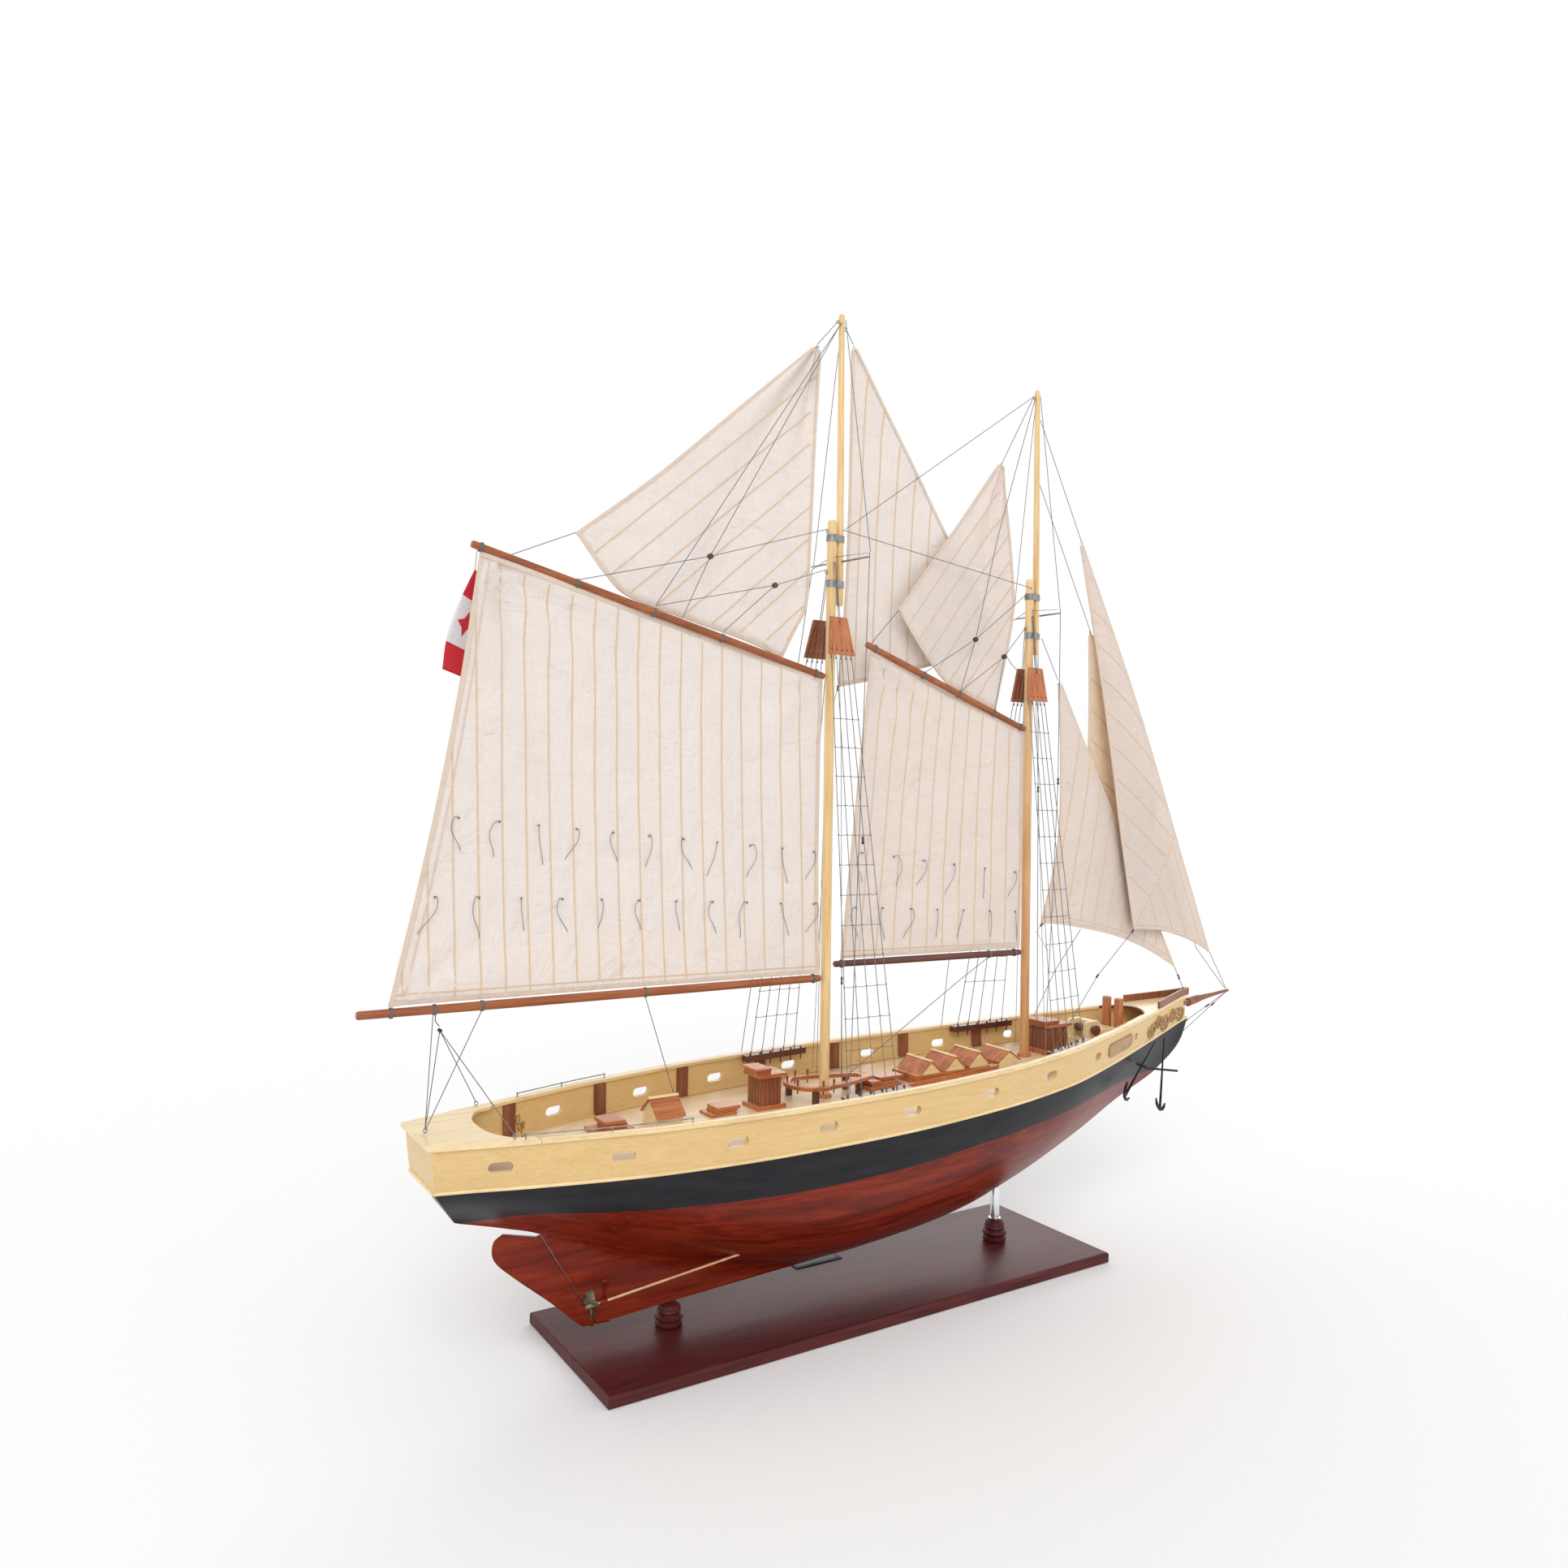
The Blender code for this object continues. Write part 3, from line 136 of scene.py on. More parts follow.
def rake_share(t):
    """Return the share of the rake at t: nearly upright above the wale, then raked to the keel."""
    return 0.1 + 0.2 * (1 - t) + 0.7 * max(0.0, 1 - t / COUNTER_SHARE)


def skin(x_top, t):
    """Return (x, half breadth, z) of the hull's outer skin, t running from the keel to the rail."""
    shift = rake(x_top)
    z_low, z_top = keel_z(x_top + shift), rail_z(x_top)
    x, z = x_top + shift * rake_share(t), lerp(z_low, z_top, t)
    z_body = max(body_z(x) if x < BODY_END else z_low, z_low)
    breadth = half_breadth(x_top) - RAIL_OVERHANG
    thin = min(FIN, breadth)
    if z <= z_body:
        return x, thin * lerp(0.8, 1.0, t), z
    height = (z - z_body) / (z_top - z_body)
    shape = (1 - (1 - height) ** fullness_a(x_top)) ** fullness_b(x_top)
    return x, thin + (breadth - thin) * shape, z


def level_on_skin(x_top, z):
    z_low = keel_z(x_top + rake(x_top))
    return (z - z_low) / (rail_z(x_top) - z_low)


def skin_at(x_top, z, side=1, out=0.0):
    """Return the point of the skin at a station and height, moved outwards by `out`."""
    x, y, z = skin(x_top, level_on_skin(x_top, z))
    slope = (half_breadth(x_top + 2) - half_breadth(x_top - 2)) / 4
    outward = Vector((-slope, 1, 0)).normalized() * out
    return Vector((x + outward.x, side * (y + outward.y), z))


def deck_z(x, y=0.0):
    inside = max(half_breadth(x) - 8, 4)
    return wale_z(x) + deck_rise(x) + deck_camber(x) * (1 - min(abs(y) / inside, 1) ** 2)


def steps(a, b, count):
    return [lerp(a, b, k / count) for k in range(count + 1)]


def rounded(points, per_piece=6):
    """Return a smooth line through the points (Catmull-Rom)."""
    points = [Vector(p) for p in points]
    ends = [points[0] * 2 - points[1]] + points + [points[-1] * 2 - points[-2]]
    line = []
    for a, b, c, d in zip(ends, ends[1:], ends[2:], ends[3:]):
        for k in range(per_piece):
            t = k / per_piece
            line.append(0.5 * (2 * b + (c - a) * t + (2 * a - 5 * b + 4 * c - d) * t * t
                               + (3 * b - a - 3 * c + d) * t ** 3))
    return line + [points[-1]]


def circle(count, first=0.0):
    """Return the angles of even steps round a circle; first is the first one's share of a step."""
    return [2 * math.pi * (k + first) / count for k in range(count)]


def mirrored(half, tip=()):
    """Return a line of (x, y) points, its tip, and its image across the centre line, as one line."""
    return half + list(tip) + [(x, -y) for x, y in reversed(half)]


def across(direction):
    """Return two unit vectors square to a direction."""
    side = direction.cross(Vector((0, 0, 1)))
    if side.length < 0.02:
        side = direction.cross(Vector((0, 1, 0)))
    side.normalize()
    return side, direction.cross(side).normalized()


class Shape:
    """The points and faces of one piece, in millimetres, each face with its material's number."""

    def __init__(self):
        self.points, self.faces, self.slots = [], [], []

    def add(self, points, faces, slot=0):
        first = len(self.points)
        self.points += [Vector(p) for p in points]
        self.faces += [tuple(first + i for i in face) for face in faces]
        self.slots += [slot] * len(faces)
        return self

    def loft(self, rings, slot=0, caps=True, loop=True):
        n, faces = len(rings[0]), []
        for k in range(len(rings) - 1):
            for i in range(n if loop else n - 1):
                j = (i + 1) % n
                faces.append((k * n + i, k * n + j, (k + 1) * n + j, (k + 1) * n + i))
        if caps:
            faces += [tuple(range(n)), tuple((len(rings) - 1) * n + i for i in range(n))]
        return self.add([p for ring in rings for p in ring], faces, slot)

    def box(self, low, high):
        ring = [(low[0], low[1]), (high[0], low[1]), (high[0], high[1]), (low[0], high[1])]
        return self.loft([[(x, y, z) for x, y in ring] for z in (low[2], high[2])])

    def prism_y(self, outline, low, high):
        return self.loft([[(x, y, z) for x, z in outline] for y in (low, high)])

    def tube(self, path, radius, sides=6, loop=False):
        path = [Vector(p) for p in path]
        count, rings = len(path), []
        side = None
        for k, point in enumerate(path):
            if loop:
                ahead = path[(k + 1) % count] - path[k - 1]
            else:
                ahead = path[min(k + 1, count - 1)] - path[max(k - 1, 0)]
            ahead.normalize()
            if side is None:
                side = across(ahead)[0]
            side = (side - ahead * side.dot(ahead)).normalized()
            up = ahead.cross(side)
            r = radius[k] if isinstance(radius, (list, tuple)) else radius
            rings.append([point + r * (math.cos(a) * side + math.sin(a) * up) for a in circle(sides)])
        if loop:
            rings.append(rings[0])
        return self.loft(rings, caps=not loop)

    def turn(self, profile, foot, direction=(0, 0, 1), sides=24):
        """Turn a profile of (radius, distance) about an axis that starts at foot."""
        along = Vector(direction).normalized()
        side, up = across(along)
        rings = [[Vector(foot) + along * s + r * (math.cos(a) * side + math.sin(a) * up)
                  for a in circle(sides)] for r, s in profile]
        return self.loft(rings)

    def bead(self, centre, radius, direction=(0, 0, 1), sides=8):
        waist = [(radius * 0.45, -0.9), (radius * 0.9, -0.5), (radius, 0), (radius * 0.9, 0.5),
                 (radius * 0.45, 0.9)]
        return self.turn([(r, s * radius) for r, s in waist], centre, direction, sides)

    def make(self, name, body, materials, replaces=(), bevel=0.0, smooth=35, merge=True):
        mesh = bpy.data.meshes.new(name)
        mesh.from_pydata([p * MM for p in self.points], [], self.faces)
        for finish in materials if isinstance(materials, (list, tuple)) else [materials]:
            mesh.materials.append(finish)
        for polygon, slot in zip(mesh.polygons, self.slots):
            polygon.material_index = slot
        work = bmesh.new()
        work.from_mesh(mesh)
        if merge:
            bmesh.ops.remove_doubles(work, verts=work.verts, dist=0.000004)
        bmesh.ops.recalc_face_normals(work, faces=work.faces)
        work.to_mesh(mesh)
        work.free()
        mesh.shade_smooth()
        mesh.set_sharp_from_angle(angle=math.radians(smooth))
        made = bpy.data.objects.new(name, mesh)
        bpy.context.scene.collection.objects.link(made)
        if bevel:
            edge = made.modifiers.new("edges", 'BEVEL')
            edge.width = bevel * MM
            edge.segments = 2
            edge.limit_method = 'ANGLE'
            edge.angle_limit = math.radians(40)
        if body:
            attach(made, body)
        if replaces:
            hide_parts(*replaces)
        return made


def thicken(made, thickness, offset=0.0):
    """Give a sheet its thickness in millimetres; offset -1 puts all of it on the inner side."""
    layer = made.modifiers.new("thickness", 'SOLIDIFY')
    layer.thickness, layer.offset = thickness * MM, offset


# ---- materials ----

class Nodes:
    """A short way to build a material's node tree."""

    def __init__(self, name):
        self.material = bpy.data.materials.new(name)
        self.material.use_nodes = True
        self.tree = self.material.node_tree
        self.shader = self.tree.nodes["Principled BSDF"]
        coordinates = self.tree.nodes.new('ShaderNodeTexCoord')
        self.place = coordinates.outputs['Object']

    def node(self, kind, **values):
        made = self.tree.nodes.new(kind)
        for key, value in values.items():
            if key in made.inputs:
                made.inputs[key].default_value = value
            else:
                setattr(made, key, value)
        return made

    def link(self, source, target):
        self.tree.links.new(source, target)

    def stretch(self, scale, turn=(0, 0, 0)):
        made = self.node('ShaderNodeMapping')
        made.inputs['Scale'].default_value = scale
        made.inputs['Rotation'].default_value = turn
        self.link(self.place, made.inputs['Vector'])
        return made.outputs['Vector']

    def noise(self, where, scale=1.0, detail=4.0, roughness=0.55, distortion=0.0):
        made = self.node('ShaderNodeTexNoise', Scale=scale, Detail=detail, Roughness=roughness,
                         Distortion=distortion)
        self.link(where, made.inputs['Vector'])
        return made.outputs['Fac']

    def wave(self, where, scale=1.0, distortion=0.0, direction='X', detail=2.0, detail_scale=1.0):
        made = self.node('ShaderNodeTexWave', Scale=scale, Distortion=distortion, Detail=detail)
        made.inputs['Detail Scale'].default_value = detail_scale
        made.bands_direction = direction
        self.link(where, made.inputs['Vector'])
        return made.outputs['Fac']

    def ramp(self, value, stops):
        made = self.node('ShaderNodeValToRGB')
        band = made.color_ramp
        while len(band.elements) < len(stops):
            band.elements.new(0.5)
        for element, (at, colour) in zip(band.elements, stops):
            element.position = at
            element.color = (*colour, 1) if len(colour) == 3 else colour
        self.link(value, made.inputs['Fac'])
        return made.outputs['Color']

    def mix(self, factor, a, b, kind='MIX'):
        made = self.node('ShaderNodeMix', data_type='RGBA', blend_type=kind)
        for source, target in ((factor, 0), (a, 6), (b, 7)):
            if hasattr(source, 'is_output'):
                self.link(source, made.inputs[target])
            elif target == 0:
                made.inputs[0].default_value = source
            else:
                made.inputs[target].default_value = (*source, 1)
        return made.outputs[2]

    def spread(self, value, low, high):
        made = self.node('ShaderNodeMapRange')
        made.inputs['To Min'].default_value = low
        made.inputs['To Max'].default_value = high
        self.link(value, made.inputs['Value'])
        return made.outputs['Result']

    def bump(self, *layers):
        """Stack bumps, each (height, depth in millimetres, strength)."""
        below = None
        for height, depth, strength in layers:
            made = self.node('ShaderNodeBump', Strength=strength)
            made.inputs['Distance'].default_value = depth * MM
            self.link(height, made.inputs['Height'])
            if below:
                self.link(below, made.inputs['Normal'])
            below = made.outputs['Normal']
        self.link(below, self.shader.inputs['Normal'])

    def finish(self, colour, roughness, coat=0.0, coat_roughness=0.05, metallic=0.0, specular=0.5,
               sheen=0.0):
        if hasattr(colour, 'is_output'):
            self.link(colour, self.shader.inputs['Base Color'])
        else:
            self.shader.inputs['Base Color'].default_value = (*colour, 1)
        if hasattr(roughness, 'is_output'):
            self.link(roughness, self.shader.inputs['Roughness'])
        else:
            self.shader.inputs['Roughness'].default_value = roughness
        self.shader.inputs['Metallic'].default_value = metallic
        self.shader.inputs['Coat Weight'].default_value = coat
        self.shader.inputs['Coat Roughness'].default_value = coat_roughness
        self.shader.inputs['Specular IOR Level'].default_value = specular
        self.shader.inputs['Sheen Weight'].default_value = sheen
        return self.material


def wood(name, dark, middle, light, grain='X', roughness=0.4, coat=0.0, figure=0.5, pores=0.35,
         tilt=(0, 0, 0), gloss=0.45, foot_tint=None):
    """Make wood whose grain runs along one axis: broad figure, fine streaks and open pores.

    A foot_tint darkens the lower part of a mast, and fades out between the two tint heights.
    """
    made = Nodes(name)
    long_way = {'X': 0, 'Y': 1, 'Z': 2}[grain]

    def along(long_scale, cross_scale):
        scale = [cross_scale] * 3
        scale[long_way] = long_scale
        return made.stretch(tuple(scale), tilt)

    broad = made.noise(along(9, 90), 1.0, 3.0, 0.5, 1.4)
    streak = made.noise(along(16, 700), 1.0, 5.0, 0.65, 0.4)
    pore = made.noise(along(60, 2600), 1.0, 2.0, 0.5)
    both = made.mix(figure, made.ramp(streak, [(0.25, (0, 0, 0)), (0.75, (1, 1, 1))]),
                    made.ramp(broad, [(0.3, (0, 0, 0)), (0.7, (1, 1, 1))]))
    colour = made.ramp(both, [(0.08, dark), (0.5, middle), (0.92, light)])
    flecks = made.ramp(pore, [(0.36, (1 - pores,) * 3), (0.5, (1, 1, 1))])
    colour = made.mix(1.0, colour, flecks, 'MULTIPLY')
    if foot_tint:
        parts = made.node('ShaderNodeSeparateXYZ')
        made.link(made.place, parts.inputs[0])
        rise = made.node('ShaderNodeMapRange')
        rise.inputs['From Min'].default_value, rise.inputs['From Max'].default_value = TINT_HEIGHTS
        made.link(parts.outputs['Z'], rise.inputs['Value'])
        colour = made.mix(rise.outputs['Result'], made.mix(1.0, colour, foot_tint, 'MULTIPLY'), colour)
    made.bump((streak, 0.05, 0.35), (pore, 0.04, 0.3))
    return made.finish(colour, made.spread(streak, roughness - 0.06, roughness + 0.1), coat, 0.06,
                       specular=gloss)


def black_paint():
    made = Nodes("black_band")
    mottle = made.noise(made.stretch((25, 60, 160)), 1.0, 4.0)
    fine = made.noise(made.stretch((200, 900, 900)), 1.0, 3.0)
    colour = made.ramp(mottle, [(0.3, (0.0145, 0.0148, 0.0185)), (0.7, (0.024, 0.0245, 0.029))])
    made.bump((fine, 0.03, 0.25))
    return made.finish(colour, made.spread(mottle, 0.3, 0.42), 0.02, 0.3, specular=0.14)


def sailcloth(name, pale, deep, bright, through=0.3):
    """Make thin plain-woven cotton: crossed threads, slubs, soft creases darkened with painted shade, some
    light let through.
    """
    made = Nodes(name)
    flat = made.stretch((1, 0.02, 1))
    warp = made.wave(flat, 430, 1.2, 'X', 2.0, 3.0)
    weft = made.wave(flat, 430, 1.2, 'Z', 2.0, 3.0)
    slub_x = made.noise(made.stretch((55, 60, 900)), 1.0, 4.0, 0.7)
    slub_z = made.noise(made.stretch((900, 60, 55)), 1.0, 4.0, 0.7)
    crease = made.noise(made.stretch((22, 22, 22)), 1.0, 4.0, 0.6, 0.8)
    slubs = made.mix(0.5, slub_x, slub_z)
    colour = made.ramp(slubs, [(0.28, deep), (0.5, pale), (0.72, bright)])
    # painted shade: the crease noise darkens the cloth towards its deep tone, standing in for shade in the
    # folds
    colour = made.mix(made.spread(crease, 0.0, 0.4), colour, deep)
    weave = made.mix(0.5, warp, weft)
    made.bump((crease, 5.0, 1.0), (slubs, 0.25, 0.6), (weave, 0.12, 0.5))
    material = made.finish(colour, made.spread(slubs, 0.8, 0.95), 0.0, specular=0.2, sheen=0.15)
    tree = material.node_tree
    glow, both = tree.nodes.new('ShaderNodeBsdfTranslucent'), tree.nodes.new('ShaderNodeMixShader')
    output = next(node for node in tree.nodes if node.type == 'OUTPUT_MATERIAL')
    made.link(colour, glow.inputs['Color'])
    both.inputs['Fac'].default_value = through
    made.link(made.shader.outputs['BSDF'], both.inputs[1])
    made.link(glow.outputs['BSDF'], both.inputs[2])
    made.link(both.outputs['Shader'], output.inputs['Surface'])
    return material


def stitched(name, colour, scale=900):
    """Make cloth tape or twine, with a fine regular lay."""
    made = Nodes(name)
    lay = made.wave(made.stretch((1, 1, 1)), scale, 3.0, 'DIAGONAL', 1.0)
    fuzz = made.noise(made.stretch((500, 500, 500)), 1.0, 3.0)
    darker = tuple(c * 0.6 for c in colour)
    shade = made.ramp(made.mix(0.5, lay, fuzz), [(0.2, darker), (0.7, colour)])
    made.bump((lay, 0.15, 0.6))
    return made.finish(shade, made.spread(fuzz, 0.7, 0.95), specular=0.25)


def metal(name, dark, light, low, high, metallic=1.0):
    """Make worn metal: patches of tone and fine scratches."""
    made = Nodes(name)
    patch = made.noise(made.stretch((160, 160, 160)), 1.0, 5.0, 0.6)
    scratch = made.noise(made.stretch((60, 2400, 2400)), 1.0, 3.0)
    colour = made.ramp(patch, [(0.3, dark), (0.7, light)])
    made.bump((patch, 0.08, 0.4), (scratch, 0.02, 0.3))
    return made.finish(colour, made.spread(patch, low, high), metallic=metallic)


def planked(name):
    """Make pale deck wood laid in narrow planks."""
    made = Nodes(name)
    seam = made.node('ShaderNodeTexBrick')
    for key, value in (('Scale', 1.0), ('Mortar Size', 0.016), ('Mortar Smooth', 0.4),
                       ('Brick Width', 14.0), ('Row Height', 1.0), ('Bias', 0.0)):
        seam.inputs[key].default_value = value
    seam.inputs['Color1'].default_value = (0.9, 0.9, 0.9, 1)
    seam.inputs['Color2'].default_value = (1, 1, 1, 1)
    seam.inputs['Mortar'].default_value = (0.72, 0.62, 0.5, 1)
    made.link(made.stretch((150, 150, 150)), seam.inputs['Vector'])
    streak = made.noise(made.stretch((16, 500, 500)), 1.0, 5.0, 0.6, 0.5)
    broad = made.noise(made.stretch((7, 40, 40)), 1.0, 3.0, 0.5, 0.8)
    colour = made.ramp(made.mix(0.4, streak, broad),
                       [(0.3, (0.66, 0.47, 0.26)), (0.5, (0.76, 0.57, 0.34)), (0.7, (0.83, 0.65, 0.42))])
    colour = made.mix(1.0, colour, seam.outputs['Color'], 'MULTIPLY')
    made.bump((streak, 0.05, 0.3))
    return made.finish(colour, made.spread(streak, 0.36, 0.5), 0.15, 0.3)


HONEY = wood("honey_wood", (0.64, 0.42, 0.165), (0.715, 0.49, 0.21), (0.76, 0.545, 0.25), figure=0.3,
             roughness=0.38, coat=0.2, pores=0.05)
INNER = wood("inner_wood", (0.72, 0.42, 0.14), (0.83, 0.52, 0.195), (0.88, 0.59, 0.25), figure=0.3,
             roughness=0.45, coat=0.1, pores=0.06)
PALE = wood("pale_wood", (0.66, 0.46, 0.21), (0.83, 0.63, 0.335), (0.89, 0.71, 0.42), roughness=0.34,
            coat=0.35, pores=0.1)
PINE = wood("pine", (0.62, 0.37, 0.13), (0.8, 0.55, 0.25), (0.9, 0.68, 0.37), 'Z', 0.36, 0.35, pores=0.14)
AMBER_PINE = wood("amber_pine", (0.62, 0.37, 0.15), (0.8, 0.55, 0.28), (0.9, 0.68, 0.4), 'Z', 0.36, 0.3,
                  pores=0.14, foot_tint=(0.78, 0.58, 0.46))
SPAR = wood("spar_mahogany", (0.2, 0.05, 0.014), (0.35, 0.095, 0.028), (0.46, 0.15, 0.05),
            roughness=0.4, coat=0.12)
MAHOGANY = wood("mahogany", (0.28, 0.07, 0.018), (0.5, 0.15, 0.043), (0.65, 0.245, 0.085),
                roughness=0.38, coat=0.25)
MAHOGANY_Z = wood("mahogany_upright", (0.14, 0.04, 0.016), (0.26, 0.078, 0.031), (0.37, 0.125, 0.055),
                  'Z', 0.38, 0.25)
BOARD = wood("board_mahogany", (0.34, 0.1, 0.035), (0.52, 0.17, 0.06), (0.62, 0.24, 0.09), 'Z', 0.42,
             0.1)
DARK = wood("dark_mahogany", (0.055, 0.013, 0.009), (0.12, 0.029, 0.018), (0.19, 0.052, 0.03),
            roughness=0.36, coat=0.3)
DARK_Z = wood("dark_mahogany_upright", (0.04, 0.013, 0.009), (0.1, 0.03, 0.018), (0.17, 0.055, 0.03),
              'Z', 0.36, 0.3)
HULL_RED = wood("hull_varnish", (0.085, 0.005, 0.002), (0.19, 0.016, 0.005), (0.3, 0.034, 0.009),
                roughness=0.34, coat=0.04, figure=0.6, pores=0.25, tilt=(0, 0.06, 0), gloss=0.2)
CHERRY = wood("cherry_gloss", (0.045, 0.007, 0.008), (0.085, 0.014, 0.014), (0.125, 0.024, 0.02),
              roughness=0.42, coat=0.02, figure=0.45, pores=0.2, gloss=0.22)
NAME_BOARD = wood("name_board_wood", (0.36, 0.2, 0.085), (0.47, 0.28, 0.13), (0.54, 0.34, 0.17),
                  roughness=0.4)
SCROLL = wood("scroll_wood", (0.28, 0.14, 0.06), (0.42, 0.24, 0.11), (0.5, 0.31, 0.15), roughness=0.4)
BLACK = black_paint()
DECK = planked("deck_planks")
CLOTH = sailcloth("sailcloth", (0.91, 0.845, 0.8), (0.79, 0.72, 0.67), (0.94, 0.885, 0.84))
CREAM_CLOTH = sailcloth("cream_sailcloth", (0.88, 0.8, 0.75), (0.76, 0.68, 0.625), (0.92, 0.85, 0.8))
WARM_CLOTH = sailcloth("warm_sailcloth", (0.85, 0.75, 0.69), (0.74, 0.635, 0.57), (0.89, 0.8, 0.74))
# painted shade: a darker, warmer cloth for the middle jib, standing for the tinted shade where the
# headsails overlap
OVERLAP_SHADE_CLOTH = sailcloth("overlap_shade_sailcloth", (0.88, 0.73, 0.56), (0.8, 0.63, 0.45), (0.92, 0.79, 0.64))
SEAM = stitched("seam_tape", (0.86, 0.62, 0.4), 700)
HEM = sailcloth("hem_cloth", (0.78, 0.645, 0.53), (0.64, 0.5, 0.385), (0.82, 0.7, 0.6), 0.1)
ROPE = stitched("grey_thread", (0.21, 0.215, 0.22))
SILVER = metal("polished_rod", (0.72, 0.73, 0.75), (0.86, 0.87, 0.89), 0.14, 0.26)
IRON = metal("iron_band", (0.2, 0.21, 0.23), (0.42, 0.43, 0.45), 0.35, 0.55)
GUN = metal("gunmetal", (0.02, 0.024, 0.024), (0.07, 0.08, 0.078), 0.4, 0.6)
BRONZE = metal("antique_bronze", (0.1, 0.085, 0.06), (0.3, 0.25, 0.16), 0.35, 0.6)
BRASS = metal("brass", (0.34, 0.2, 0.07), (0.62, 0.42, 0.17), 0.25, 0.45)
COPPER = metal("copper_tube", (0.62, 0.3, 0.15), (0.85, 0.5, 0.3), 0.3, 0.45)
BLOCK = wood("block_wood", (0.04, 0.02, 0.013), (0.09, 0.042, 0.025), (0.15, 0.075, 0.045), 'Z', 0.45)
FLAG_RED = stitched("flag_red", (0.72, 0.035, 0.05), 1500)
FLAG_WHITE = stitched("flag_white", (0.93, 0.92, 0.93), 1500)


# ---- hull ----

STATIONS = (steps(-371, -274, 14) + steps(-268, -225, 14) + steps(-218, 300, 52)
            + steps(308, 440, 16) + [445, 450, 455, 458.5, 461])


def hull():
    """The solid bottom: red varnish below, black band above, on both sides and the transom."""
    low_rows, high_rows = 16, 7
    rows = low_rows + high_rows
    rings = []
    for x in STATIONS:
        split, top = max(level_on_skin(x, red_z(x)), 0.0), level_on_skin(x, wale_z(x))
        levels = [split * (k / low_rows) ** 1.1 for k in range(low_rows)]
        levels += [lerp(split, top, k / high_rows) for k in range(high_rows + 1)]
        half = [skin(x, level) for level in levels]
        rings.append([(p[0], -p[1], p[2]) for p in reversed(half)] + half)
    shape = Shape().loft(rings, caps=False)
    wide = len(rings[0])
    black = [int(i < high_rows or i > rows + low_rows) for i in range(wide)]
    shape.slots = black * (len(rings) - 1) + [1] * (rows + 1)
    shape.faces += [(i, i + 1, wide - 2 - i, wide - 1 - i) for i in range(rows)]
    shape.faces.append(tuple(range(len(shape.points) - wide, len(shape.points))))
    shape.make("hull_skin", SHIP, [HULL_RED, BLACK], ["hull"], smooth=42, merge=False)

    lines = Shape()
    for side in (-1, 1):
        path = [skin_at(x, wale_z(x) + 0.2, side, 0.1) for x in STATIONS if x < 459]
        lines.tube(path, 1.35, 8)
    path = [skin_at(STERN, wale_z(STERN) + 0.2, side) for side in (-1, 1)]
    lines.tube([p + Vector((-0.2, 0, 0)) for p in path], 1.35, 8)
    lines.make("wale_moulding", SHIP, PALE, smooth=60)


def cut_ports(wall, side):
    """Cut the freeing ports through a bulwark."""
    tools = Shape()
    for x, length in SLOTS:
        height = min(7.5, length)
        slope = (half_breadth(x + 2) - half_breadth(x - 2)) / 4
        along = Vector((1, side * slope, 0.035)).normalized()
        outward = Vector((-side * slope, 1, 0)).normalized() * side
        run, radius = max(length / 2 - height / 2, 0.01), height / 2
        corner = 24 if length > 10 else 4
        turn = circle(corner, 0.5)
        if length <= 10:
            outline = [(1.3 * radius * math.cos(a), 1.3 * radius * math.sin(a)) for a in turn]
        else:
            outline = [(math.copysign(run, math.cos(a)) + radius * math.cos(a), radius * math.sin(a))
                       for a in turn]
        centre = Vector((x, side * (half_breadth(x) - RAIL_OVERHANG), lerp(wale_z(x), rail_z(x), 0.53)))
        tools.loft([[centre + along * a + Vector((0, 0, b)) + outward * reach for a, b in outline]
                    for reach in (-12, 6)])
    tool = tools.make("port_cutters", None, INNER, merge=False)
    cut = wall.modifiers.new("ports", 'BOOLEAN')
    cut.solver = 'EXACT'
    cut.object = tool
    bpy.context.view_layer.update()
    done = bpy.data.meshes.new_from_object(wall.evaluated_get(bpy.context.evaluated_depsgraph_get()))
    wall.modifiers.clear()
    wall.data = done
    done.shade_smooth()
    done.set_sharp_from_angle(angle=math.radians(30))
    bpy.data.objects.remove(tool, do_unlink=True)


